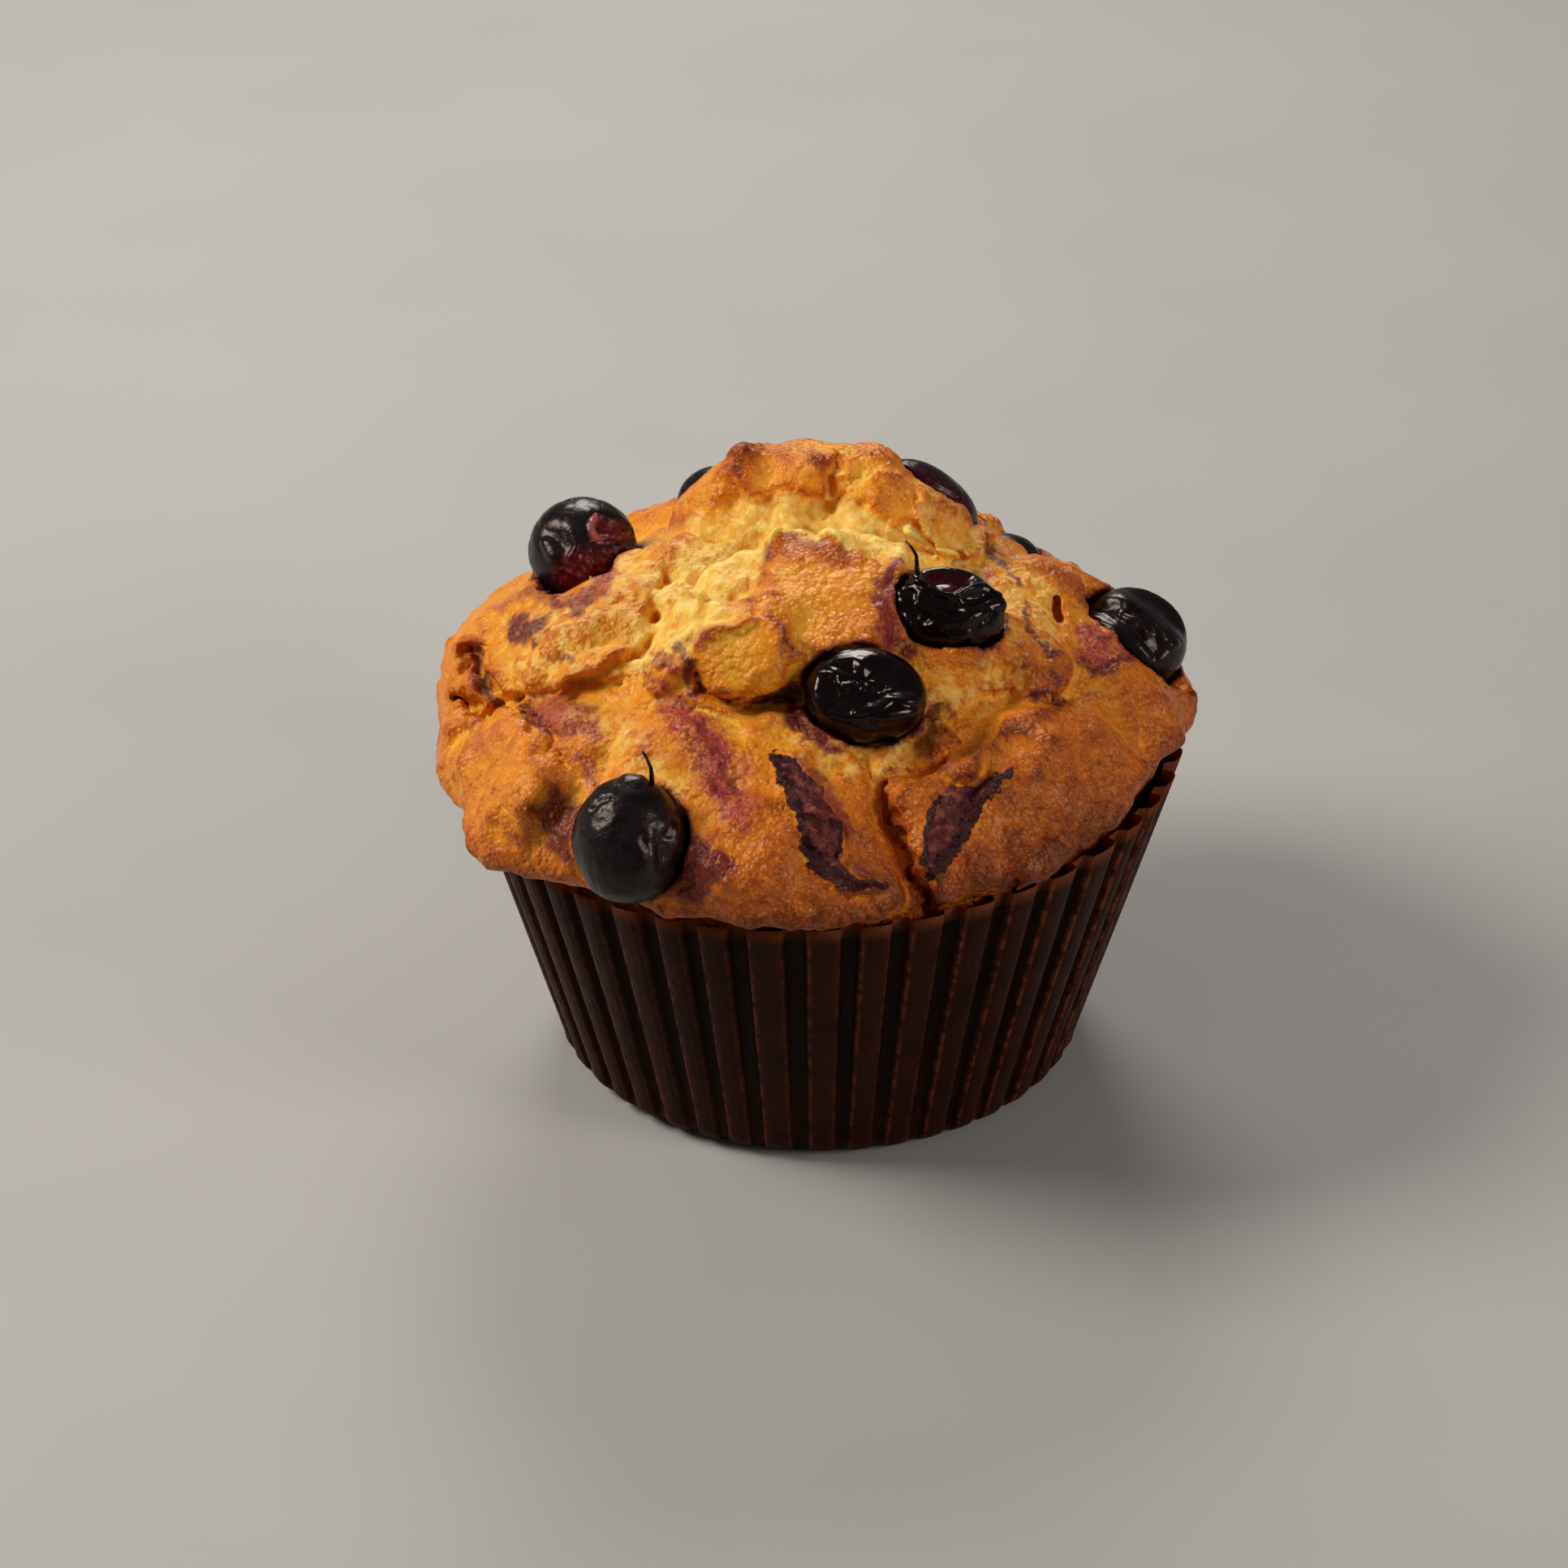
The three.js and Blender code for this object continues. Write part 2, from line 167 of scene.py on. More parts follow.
# Strokes in the photograph's pixels: across, down, half width at each point
TORN = {
    "fissure left": [(790, 806, 18), (806, 788, 30), (840, 755, 56), (880, 700, 58), (930, 662, 46)],
    "fissure right": [(930, 662, 46), (1000, 640, 32), (1060, 648, 32), (1120, 668, 32), (1190, 700, 18)],
}
HALF_TORN = {
    "fissure foot": [(762, 838, 12), (795, 800, 22)],
    "bubble side": [(1262, 700, 16), (1285, 740, 18), (1290, 790, 12)],
    "berry side": [(812, 950, 14), (835, 975, 16)],
    "plateau": [(655, 810, 34), (720, 760, 52), (780, 700, 40)],
    "groove": [(712, 872, 16), (755, 905, 24), (790, 945, 18)],
    "right slope": [(1150, 860, 26), (1200, 850, 26), (1255, 835, 18)],
    "ridge right": [(1150, 640, 26), (1190, 690, 34), (1250, 750, 30)],
    "lump side": [(960, 900, 16), (1030, 935, 22), (1090, 930, 26), (1130, 900, 18)],
}

# Patches of crust that stand up with a crisp edge: height, half width of the edge in pixels, the two
# pixels between which the height fades away, and the outline
PATCHES = {
    "plate": (1.4, 3, ((900, 840), (1060, 640)), [
        (860, 778), (874, 768), (900, 764), (922, 753), (940, 755), (954, 748), (962, 764), (976, 780),
        (974, 800), (980, 820), (975, 835), (962, 848), (948, 855), (925, 861), (905, 862), (880, 859),
        (862, 848), (855, 830), (850, 810), (858, 790)]),
    "lump": (1.3, 4, ((1000, 665), (1040, 800)), [
        (925, 748), (930, 720), (938, 700), (944, 672), (955, 658), (975, 654), (992, 662), (1008, 668),
        (1020, 657), (1032, 662), (1045, 678), (1062, 679), (1078, 690), (1090, 705), (1100, 760),
        (1090, 800), (1000, 812), (975, 800), (968, 770), (955, 757)]),
    "near wall": (0.8, 4, ((840, 775), (880, 850)), [
        (792, 838), (796, 815), (806, 795), (822, 780), (842, 771), (862, 762), (890, 742), (925, 735),
        (930, 760), (860, 790), (845, 830), (820, 850)]),
    "plateau": (0.6, 10, None, [
        (650, 800), (665, 760), (700, 735), (750, 700), (800, 668), (830, 680), (800, 740), (790, 790),
        (740, 830), (680, 845), (655, 830)]),
    "ridge left": (0.7, 4, None, [
        (905, 600), (900, 560), (920, 545), (960, 555), (1005, 560), (1020, 590), (1015, 612), (960, 600),
        (930, 615)]),
    "ridge right": (0.7, 5, None, [
        (1030, 600), (1035, 575), (1055, 552), (1090, 560), (1118, 580), (1125, 610), (1128, 640),
        (1100, 650), (1060, 625)]),
    "right lobe": (1.5, 4, ((1210, 930), (1310, 1000)), [
        (1310, 870), (1290, 862), (1262, 862), (1240, 880), (1225, 905), (1190, 935), (1150, 955),
        (1110, 975), (1100, 1000), (1115, 1040), (1140, 1095), (1180, 1110), (1300, 1080), (1380, 1040),
        (1450, 940), (1440, 880), (1380, 840)]),
    "small plate": (0.6, 3, None, [
        (1140, 890), (1165, 872), (1185, 872), (1197, 885), (1190, 900), (1185, 915), (1165, 930),
        (1140, 935)]),
    "berry top crust": (1.7, 5, None, [
        (1128, 604), (1146, 610), (1173, 613), (1193, 617), (1210, 630), (1228, 655), (1200, 690),
        (1150, 680), (1122, 645)]),
    "low left dome": (1.3, 26, None, [
        (606, 900), (640, 880), (672, 915), (684, 960), (672, 1010), (640, 1030), (604, 1000), (590, 950)]),
    "middle dome": (0.9, 24, None, [
        (880, 1010), (930, 960), (960, 1010), (980, 1070), (940, 1110), (880, 1100), (860, 1060)]),
    "low left": (0.7, 4, ((640, 900), (640, 1010)), [
        (600, 900), (640, 872), (665, 905), (690, 930), (680, 960), (665, 1000), (680, 1060), (620, 1040),
        (580, 1000), (570, 960), (590, 930)]),
    "left edge": (0.6, 10, None, [
        (540, 830), (560, 790), (590, 765), (600, 775), (585, 800), (578, 840), (582, 870), (560, 880),
        (575, 905), (595, 925), (585, 950), (560, 960), (540, 920), (533, 880)]),
}

# How flat some patches are
FLAT = {"plate": 0.5, "lump": 0.35, "near wall": 0.4, "plateau": 0.4}

# The patches whose crust is whole
CRUSTY = (
    "plate", "lump", "ridge left", "ridge right", "right lobe", "low left", "left edge", "berry top crust")
BROWN_EDGED = ("lump", "ridge left")

# Cracks, creases and holes: a stroke and its depth
CARVED = {
    "under the plate": ([(858, 840, 5), (866, 856, 6), (885, 866, 7), (930, 868, 8), (985, 860, 7)], 2.0),
    "front crack": ([(1092, 965, 5), (1100, 1005, 7), (1120, 1055, 8), (1145, 1105, 8)], 2.6),
    "bubble": ([(1300, 740, 7), (1303, 750, 8), (1305, 762, 7)], 2.6),
    "edge pit": ([(562, 862, 8), (582, 872, 11), (602, 880, 9), (618, 872, 6)], 2.4),
    "left crease": ([(584, 796, 7), (590, 830, 9), (602, 852, 9), (620, 866, 8), (642, 862, 6)], 1.9),
    "plateau crease": ([(650, 858, 6), (700, 852, 7), (740, 850, 7), (770, 842, 6)], 1.0),
    "thin crease": ([(655, 800, 5), (672, 840, 5)], 0.6),
    "ridge notch": ([(1030, 560, 4), (1022, 585, 5), (1016, 606, 4)], 0.8),
    "right crease": ([(1185, 885, 7), (1210, 870, 9), (1250, 855, 8)], 1.2),
    "low crack": ([(1100, 955, 5), (1130, 955, 5), (1160, 945, 5)], 0.9),
    "low left top": ([(598, 888, 6), (622, 868, 7), (652, 884, 7), (676, 912, 7), (694, 940, 5)], 1.1),
    "right step": ([(1398, 1014, 10), (1412, 985, 12), (1440, 962, 9)], 1.8),
    "front lip": ([(940, 1158, 14), (1000, 1160, 16), (1062, 1156, 14)], 1.5),
    "rim step left": ([(1252, 1096, 7), (1262, 1080, 6)], 1.2),
    "rim step right": ([(1328, 1068, 7), (1334, 1052, 5)], 1.2),
    "rim step middle": ([(1140, 1120, 8), (1146, 1098, 6)], 1.4),
}

# Openings in the crust through which a berry is seen
WINDOWS = {
    "berry_left_top": [
        (640, 690), (653, 701), (666, 721), (674, 727), (689, 740), (701, 744), (711, 745), (725, 739),
        (727, 730), (722, 716), (728, 711), (743, 713), (755, 706), (758, 691), (745, 684), (727, 679),
        (734, 670), (745, 665), (761, 662), (790, 664), (800, 640), (800, 600), (640, 600)],
    "berry_right": [
        (1338, 764), (1366, 773), (1393, 784), (1412, 797), (1423, 814), (1442, 840), (1475, 860),
        (1475, 700), (1338, 700)],
}

# Dark skins of burst berries that lie on the crust
SKINS = {
    "front": [
        (945, 930), (960, 929), (975, 932), (990, 950), (1010, 975), (1025, 1000), (1040, 1010),
        (1040, 1035), (1030, 1050), (1030, 1065), (1045, 1075), (1100, 1090), (1085, 1096), (1040, 1095),
        (1005, 1075), (1000, 1060), (987, 1040), (985, 1005), (975, 995), (972, 975), (965, 950),
        (955, 938)],
    "right": [
        (1165, 965), (1185, 972), (1205, 965), (1245, 948), (1225, 965), (1212, 985), (1208, 1000),
        (1195, 1010), (1185, 1030), (1178, 1045), (1165, 1055), (1148, 1080), (1138, 1060), (1137, 1040),
        (1140, 1020), (1150, 1000), (1160, 985)],
}

# Their dark folded rims
SKIN_RIMS = {
    "front left": [
        (954, 934, 8), (966, 958, 7), (978, 985, 9), (988, 1008, 5), (992, 1035, 7), (1006, 1064, 11),
        (1040, 1086, 7), (1092, 1091, 4)],
    "front top": [(958, 931, 4), (978, 938, 3), (998, 965, 2)],
    "front right": [(1032, 1012, 2), (1038, 1022, 4), (1033, 1050, 3)],
    "right side": [
        (1244, 949, 4), (1222, 966, 9), (1208, 990, 6), (1190, 1020, 9), (1172, 1048, 7), (1150, 1076, 8)],
    "right left": [(1160, 980, 2), (1150, 1004, 5), (1141, 1030, 3), (1140, 1062, 5)],
}

# Juice stains: how pink, how dark, and a stroke or an outline. A few dark strokes are partly painted shade,
# in a crease and under the plate.
STAINS = {
    "band": (1.0, 0.0, [(838, 876, 20), (865, 915, 28), (890, 950, 30), (905, 985, 22), (918, 1012, 10)]),
    "band foot": (0.7, 0.0, [(820, 870, 12), (812, 840, 10)]),
    "band streak": (0.6, 0.5, [(850, 890, 5), (885, 930, 7), (908, 985, 5)]),
    "band edge": (0.5, 0.6, [(842, 905, 3), (870, 950, 4), (896, 992, 3)]),
    "red spot": (1.0, 0.3, [(798, 802), (812, 803), (830, 812), (832, 824), (820, 826), (808, 818)]),
    "red line": (0.6, 0.4, [(795, 820, 3), (800, 840, 3), (806, 856, 3), (816, 872, 3)]),
    "plate left": (0.8, 0.6, [(838, 800, 6), (845, 815, 8), (843, 828, 7), (848, 840, 6), (864, 860, 4)]),
    "plate skin": (0.35, 0.1, [(862, 780, 12), (868, 798, 10)]),
    "plate right": (0.2, 0.8, [(972, 787, 3), (977, 800, 3), (974, 812, 3)]),
    # Partly pink juice and partly painted shadow: a dark stroke along the gap under the plate's edge
    "under the plate": (0.6, 0.8, [(900, 866, 4), (945, 862, 5), (968, 857, 9), (992, 843, 7)]),
    "upper foot": (0.95, 0.45, [
        (1088, 698), (1103, 686), (1112, 698), (1102, 715), (1096, 735), (1103, 755), (1104, 770),
        (1114, 785), (1128, 797), (1130, 808), (1112, 814), (1095, 808), (1083, 792), (1086, 770),
        (1080, 745), (1080, 722)]),
    "upper foot low": (0.9, 0.8, [(1100, 785, 8), (1115, 803, 8)]),
    "front skin top": (0.6, 0.4, [(985, 940, 8), (1012, 968, 9), (1036, 1000, 8), (1048, 1030, 6)]),
    "front skin foot": (0.3, 0.5, [(1060, 1070, 5), (1105, 1090, 4)]),
    "right skin top": (0.3, 0.6, [(1150, 985, 5), (1172, 962, 6), (1198, 958, 5)]),
    "above upper": (0.7, 0.1, [(1192, 704, 6), (1216, 714, 7)]),
    "centre foot": (0.9, 0.85, [
        (975, 868, 8), (985, 890, 10), (1000, 905, 10), (1020, 919, 9), (1034, 923, 6)]),
    "centre tail": (0.6, 0.8, [(1128, 902, 6), (1140, 884, 7), (1154, 868, 4)]),
    "low left": (0.75, 0.2, [
        (637, 870), (665, 852), (700, 858), (735, 872), (738, 912), (700, 910), (662, 903), (640, 880)]),
    "low left edge": (0.4, 0.8, [(642, 868, 6), (655, 884, 9), (670, 899, 5)]),
    "low left streak": (0.7, 0.3, [(716, 935, 5), (730, 955, 6), (738, 968, 4)]),
    "berry left": (0.6, 0.8, [
        (680, 965), (692, 962), (702, 985), (716, 990), (708, 1010), (702, 1040), (708, 1065), (692, 1062),
        (675, 1040), (668, 1010), (660, 995), (672, 980)]),
    "berry right": (0.7, 0.75, [
        (820, 1100), (840, 1080), (852, 1040), (862, 1030), (872, 1044), (890, 1045), (905, 1060),
        (910, 1075), (890, 1085), (870, 1100), (860, 1115), (840, 1112)]),
    "plateau spot": (0.5, 0.85, [
        (628, 760), (640, 757), (655, 765), (668, 758), (677, 755), (672, 775), (660, 785), (645, 795),
        (632, 790), (627, 785)]),
    "spots": (0.6, 0.5, [(683, 803, 3), (704, 812, 2)]),
    # Partly pink juice and partly painted shade: dark colour laid in the left crease
    "left crease": (0.5, 0.75, [(590, 800, 6), (588, 825, 7), (598, 850, 7), (618, 866, 6)]),
    "edge pink": (0.5, 0.0, [(585, 890, 9), (592, 918, 9)]),
    "edge blue": (0.5, 0.1, [(615, 748, 6), (626, 744, 5)]),
    "right top": (0.4, 0.8, [(1217, 662, 4), (1222, 680, 7), (1235, 697, 4)]),
    "right top low": (0.4, 0.8, [(1243, 700, 4), (1257, 717, 6)]),
    "drops": (0.3, 0.9, [(1243, 758, 4), (1235, 773, 3)]),
    "right patch": (0.95, 0.15, [
        (1338, 764), (1366, 773), (1393, 784), (1412, 797), (1420, 812), (1400, 812), (1385, 817),
        (1370, 828), (1350, 830), (1335, 822), (1325, 806), (1330, 790), (1324, 776)]),
    "right patch rim": (0.7, 0.85, [
        (1334, 815, 4), (1350, 827, 5), (1372, 822, 7), (1390, 806, 6), (1408, 808, 5)]),
    "right spot": (0.4, 0.9, [(1270, 850, 5), (1285, 853, 6), (1300, 862, 6), (1312, 868, 4)]),
    "right speck": (0.4, 0.8, [(1265, 744, 4), (1275, 785, 2), (1290, 800, 4), (1308, 810, 2)]),
    "right streak": (0.4, 0.7, [(1296, 826, 4), (1304, 846, 3)]),
    "flesh left": (1.0, 0.6, [(668, 716, 7), (690, 742, 7), (712, 750, 7), (730, 735, 8)]),
    "flesh crust": (1.0, 0.2, [(728, 700, 9), (748, 700, 12), (752, 680, 8), (740, 725, 8), (690, 745, 10)]),
    "below left": (0.4, 0.3, [(640, 735, 5), (655, 728, 8), (672, 740, 6)]),
}

# Where strokes of the crust browned more, or less where the amount is below 0. A few of them are painted
# shade or a painted highlight, as noted at each.
BROWNED = {
    "ridge left": (0.25, [(903, 580, 16), (925, 560, 16), (958, 572, 16)]),
    "ridge middle": (0.25, [(1005, 566, 8), (1032, 570, 8)]),
    "ridge right": (0.25, [(1062, 556, 8), (1090, 560, 9), (1118, 585, 7)]),
    "ridge corner": (0.25, [(815, 645, 8), (850, 640, 10)]),
    "lump top": (0.36, [(945, 680, 14), (975, 668, 16), (1020, 676, 18), (1045, 692, 10)]),
    "lump side": (0.25, [(936, 705, 8), (950, 728, 14)]),
    # Painted shade: the lump's broad face, which turns to the key light, is coloured browner
    "lump face shade": (0.13, [(1000, 740, 50), (1055, 750, 40)]),
    "plate side": (0.2, [
        (860, 790, 8), (872, 776, 6), (930, 762, 6), (958, 766, 9), (970, 800, 8), (966, 840, 8)]),
    "plate foot": (0.16, [(876, 852, 7), (920, 856, 7)]),
    # Painted highlight: the flat top of the plate, which turns to the light, is coloured paler
    "plate face highlight": (-0.1, [(915, 790, 26), (925, 820, 26)]),
    "flake": (0.25, [(898, 742, 8), (926, 740, 9)]),
    "speck": (0.25, [(852, 738, 6), (870, 742, 5)]),
    "plateau": (0.08, [(690, 780, 40), (735, 760, 40)]),
    "groove": (0.07, [(740, 900, 26), (785, 925, 22)]),
    "behind the crumb": (0.18, [(1150, 632, 16), (1195, 632, 14)]),
    "right slope": (0.25, [(1242, 902, 8), (1268, 888, 12), (1298, 872, 10)]),
    "right ridge": (0.25, [(1278, 700, 10), (1310, 712, 10), (1335, 740, 10)]),
    # Partly painted shade: the low right side is coloured browner, where less light falls
    "right low": (0.12, [(1200, 1070, 30), (1290, 1050, 34), (1350, 1010, 26)]),
    "middle": (-0.08, [(1050, 960, 22), (1062, 1000, 18)]),
    # Painted shade: the left crease is coloured browner
    "left crease": (0.25, [(584, 792, 8), (578, 822, 8), (590, 850, 8)]),
}

# Where the crust browned more or less than elsewhere: place on the map, reach in degrees, amount. The browner
# rim at the front, right lobe and low sides are partly real browning and partly painted shade, where less
# light falls.
BROWNING = {
    "right lobe": (66, -58, 46, 0.30),
    "right low": (40, -88, 34, 0.16),
    "right edge": (92, -12, 40, 0.12),
    "left edge": (-92, -6, 30, 0.03),
    "front rim browning and shade": (-10, -100, 34, 0.42),
    "low left": (-66, -64, 28, 0.16),
    "back": (10, 84, 60, 0.22),
    "front slope": (0, -40, 30, -0.08),
    "ridge": (4, 26, 26, -0.12),
    "left": (-60, -10, 26, 0.06),
}

# The torn pocket of the berry on the left: its outline and its raised edge, as in the marks below
POCKET = [
    (0.2, 0.66), (0.4, 0.62), (0.75, 0.45), (0.98, 0.22), (0.9, 0.1), (0.5, 0.15), (0.2, 0.12), (0.22, 0.4)]
POCKET_EDGE = [(0.27, 0.62, 0.05), (0.16, 0.45, 0.05), (0.22, 0.26, 0.07)]

# Marks on the berries, in the camera's view, as shares of a berry's half width and half height: what
# it changes, how much, the softness of its edge, and a stroke (right, up, half width) or an outline
MARKS = {
    "berry_centre": [
        ("relief", -0.05, 0.9, [(-0.5, 0.98, 0.3), (0.0, 1.0, 0.35), (0.5, 0.96, 0.3)]),
        ("relief", -0.2, 0.14, [
            (-0.68, 0.45), (-0.5, 0.66), (-0.25, 0.72), (-0.07, 0.56), (0.1, 0.72), (0.5, 0.66),
            (0.74, 0.4), (0.8, 0.1), (0.6, -0.02), (0.35, -0.12), (0.1, -0.28), (-0.3, -0.36),
            (-0.6, -0.28), (-0.72, 0.05)]),
        ("relief", 0.12, 0.9, [(-0.52, 0.46, 0.12), (-0.4, 0.25, 0.12), (-0.2, 0.3, 0.08)]),
        ("relief", -0.04, 0.9, [(-0.1, 0.5, 0.1), (0.1, 0.5, 0.1)]),
        ("relief", 0.09, 0.9, [
            (-0.15, -0.34, 0.05), (0.15, -0.28, 0.06), (0.42, -0.1, 0.06), (0.8, -0.12, 0.05)]),
        ("relief", 0.1, 0.8, [(0.25, -0.44, 0.13), (0.66, -0.34, 0.15)]),
        ("wrinkle", 0.05, 0.9, [(-0.55, 0.35, 0.14), (-0.1, 0.3, 0.2), (0.25, 0.22, 0.14)]),
        ("wrinkle", 0.02, 0.9, [(-0.4, -0.1, 0.25), (0.4, 0.0, 0.2)]),
    ],
    "berry_upper": [
        ("relief", -0.34, 0.12, [
            (-0.5, 0.75), (-0.5, 1.2), (0.35, 1.2), (0.5, 0.86), (0.28, 0.6), (0.1, 0.46), (-0.09, 0.48),
            (-0.31, 0.62)]),
        ("flesh", 0.25, 0.08, [
            (-0.5, 0.8), (-0.5, 1.2), (0.4, 1.2), (0.43, 0.81), (0.28, 0.6), (0.1, 0.46), (-0.09, 0.48),
            (-0.31, 0.66)]),
        ("relief", 0.1, 0.9, [(-0.66, 0.86, 0.1), (-0.55, 0.7, 0.1)]),
        ("relief", -0.13, 0.9, [(-0.76, 0.4, 0.08), (-0.74, 0.0, 0.1), (-0.5, -0.25, 0.12)]),
        ("relief", 0.05, 0.8, [(-0.9, 0.4, 0.06), (-0.88, 0.0, 0.07), (-0.7, -0.36, 0.06)]),
        ("relief", -0.2, 0.9, [(-0.35, 0.2, 0.16), (-0.1, 0.05, 0.18), (0.1, -0.05, 0.14)]),
        ("relief", 0.07, 0.7, [(0.1, 0.3, 0.05), (0.32, 0.5, 0.06), (0.59, 0.56, 0.06), (0.81, 0.35, 0.06)]),
        ("relief", -0.14, 0.8, [(0.38, 0.22, 0.16), (0.62, 0.28, 0.12)]),
        ("relief", 0.08, 0.8, [(0.16, -0.28, 0.14), (0.5, -0.1, 0.12)]),
        ("relief", 0.06, 0.8, [(0.0, -0.66, 0.12), (0.25, -0.62, 0.1)]),
        ("relief", 0.14, 0.9, [(0.95, 0.3, 0.16), (0.92, 0.15, 0.14)]),
        ("wrinkle", 0.022, 0.9, [
            (-0.8, 0.5, 0.2), (-0.7, -0.1, 0.25), (-0.3, -0.4, 0.25), (0.3, -0.5, 0.3), (0.6, -0.1, 0.2)]),
    ],
    "berry_left_top": [
        ("relief", -0.09, 0.08, POCKET),
        ("flesh", 0.85, 0.06, POCKET),
        ("wrinkle", 0.035, 0.9, [(-0.3, -0.5, 0.2), (0.1, -0.5, 0.3), (0.5, -0.2, 0.3)]),
        ("wrinkle", 0.03, 0.5, [(0.4, 0.5, 0.15), (0.4, 0.3, 0.2), (0.8, 0.3, 0.15)]),
        ("torn", 0.45, 0.7, [*POCKET_EDGE, (0.4, 0.16, 0.06)]),
        ("relief", 0.06, 0.7, POCKET_EDGE),
        ("relief", -0.07, 0.9, [(-0.45, 0.15, 0.22), (-0.4, 0.1, 0.2)]),
        ("relief", 0.08, 0.8, [(-0.62, 0.1, 0.1), (-0.5, -0.1, 0.12)]),
        ("relief", 0.05, 0.8, [(-0.18, 0.3, 0.05), (-0.12, 0.05, 0.05), (-0.2, -0.15, 0.05)]),
        ("flesh", 0.8, 0.25, [
            (-0.2, -0.1), (0.2, 0.0), (0.6, 0.0), (0.6, -0.5), (0.2, -1.0), (-0.3, -0.9), (-0.5, -0.5)]),
        ("relief", -0.06, 0.8, [(-0.35, -0.3, 0.04), (-0.1, -0.42, 0.05)]),
        ("relief", -0.06, 0.8, [(-0.33, -0.45, 0.04), (-0.08, -0.58, 0.05)]),
        ("relief", -0.06, 0.8, [(-0.25, -0.62, 0.04), (0.0, -0.72, 0.05)]),
        ("relief", 0.05, 0.6, [(0.0, -0.2, 0.07), (0.15, -0.35, 0.08)]),
    ],
    "berry_front_left": [
        ("relief", 0.12, 0.9, [(-0.3, -0.95, 0.45), (0.3, -0.95, 0.45)]),
        ("relief", 0.09, 0.9, [(-0.2, 0.95, 0.4), (0.3, 0.95, 0.4)]),
        ("relief", -0.05, 0.8, [(-0.62, 0.5, 0.05), (-0.48, 0.62, 0.06), (-0.3, 0.66, 0.04)]),
        ("relief", -0.08, 0.9, [(0.56, -0.05, 0.2), (0.62, -0.3, 0.18)]),
        ("relief", 0.03, 0.8, [(0.44, -0.3, 0.08), (0.42, 0.1, 0.08)]),
        ("relief", -0.04, 0.9, [(0.8, 0.4, 0.06), (0.72, 0.1, 0.07)]),
        ("relief", 0.06, 0.6, [(0.02, 1.0, 0.14), (0.16, 1.0, 0.14)]),
        ("wrinkle", 0.012, 0.9, [(-0.5, 0.45, 0.4), (-0.1, 0.0, 0.4), (0.4, -0.1, 0.4)]),
    ],
    "berry_right": [
        ("relief", -0.2, 0.9, [(0.35, 0.95, 0.4), (0.85, 0.55, 0.4)]),
        ("relief", -0.12, 0.1, [
            (-0.65, 0.66), (-0.26, 0.7), (0.1, 0.5), (0.4, 0.15), (0.6, -0.24), (0.35, -0.4),
            (-0.03, -0.02), (-0.42, 0.3), (-0.8, 0.5)]),
        ("relief", 0.07, 0.9, [(-0.3, 0.5, 0.08), (-0.05, 0.35, 0.1), (0.16, 0.1, 0.1)]),
        ("relief", 0.04, 0.6, [(0.55, -0.2, 0.08), (0.72, -0.15, 0.07)]),
        ("wrinkle", 0.025, 0.9, [(-0.2, 0.4, 0.15), (0.1, 0.2, 0.2), (0.4, -0.1, 0.12)]),
    ],
    "berry_top": [
        ("relief", -0.08, 0.8, [(-0.7, 0.75, 0.07), (-0.2, 0.4, 0.08), (0.5, 0.0, 0.08)]),
        ("flesh", 0.35, 0.3, [(-0.9, 0.9), (0.9, 0.1), (0.9, -0.6), (-0.5, 0.2)]),
    ],
}

# How much dull bloom lies on each berry
BLOOM = {"berry_centre": 0.0, "berry_upper": 0.0, "berry_front_left": 0.55, "berry_right": 0.4}
USUAL_BLOOM = 0.5

# Dry threads of stems: points from a berry's middle in millimetres, right, up and towards the camera
THREADS = {
    "berry_upper": [
        (-3.2, 3.2, 2.2), (-3.24, 4.2, 2.0), (-3.3, 5.1, 1.9), (-3.7, 5.8, 1.8), (-4.3, 6.5, 1.6)],
    "berry_front_left": [
        (2.2, 4.9, 1.6), (2.2, 5.9, 2.3), (2.1, 6.7, 2.6), (1.7, 7.6, 2.8), (1.3, 8.2, 2.9)],
}
THREAD_RADIUS = 0.2
THREAD_TAPER = 1.3, 0.5
THREAD_SIDES = 8

# The map of the dome, in degrees
MAP_REACH = 116.0
MAP_STEP = 0.25
RAISED_CELLS = 14

# The grid of the cake's fine top, which is cut off inside the case and drawn down its wall
VOXEL = 0.34
GRID_REACH = 41.0
GRID_LOW = 27.6
GRID_TOP = 61.5
PLAIN_TOP = GRID_LOW + 2
CUT_HEIGHT = 28.4
BAND = 3.2
CAKE_TRIANGLES = 192000

# Noise on the grid: size in millimetres and seed
VOLUMES = {
    "ragged small": (1.3, 11),
    "ragged broad": (3.1, 12),
    "lumps": (2.1, 41),
    "bumps": (1.15, 42),
    "grains": (0.62, 43),
    "pits": (1.5, 44),
    "low edge": (4.2, 45),
}
SHIFTS = {"broad": (3.0, 20, 0.28), "small": (1.2, 30, 0.16)}

# Fine relief: the heights of its lumps, bumps and grains, and where the crust is smoother
CRUST_RELIEF = 0.11, 0.08, 0.05
TORN_RELIEF = 0.3, 0.16, 0.05
SMOOTH_PATCH = "lump"
SMOOTHNESS = 0.55
LOW_EDGE_RELIEF = 0.4
CRUMB_CELL = 2.4
CRUMB_CELL_HEIGHT = 0.4
PIT_DEPTH = 0.7
FLAT_EDGE = 10

# Burst skins: height and how much of the bumps they take, on the skin and on its rim
SKIN_RELIEF = 0.1, 0.35
RIM_RELIEF = 0.35, 0.3

# Sockets of the berries: the gap around a berry, and the low collar of crust
SOCKET_GAP = 0.12
SOCKET_REACH = 9
COLLAR_HEIGHT = 0.35
COLLAR_WIDTH = 0.9
WINDOW_DEPTH = 5

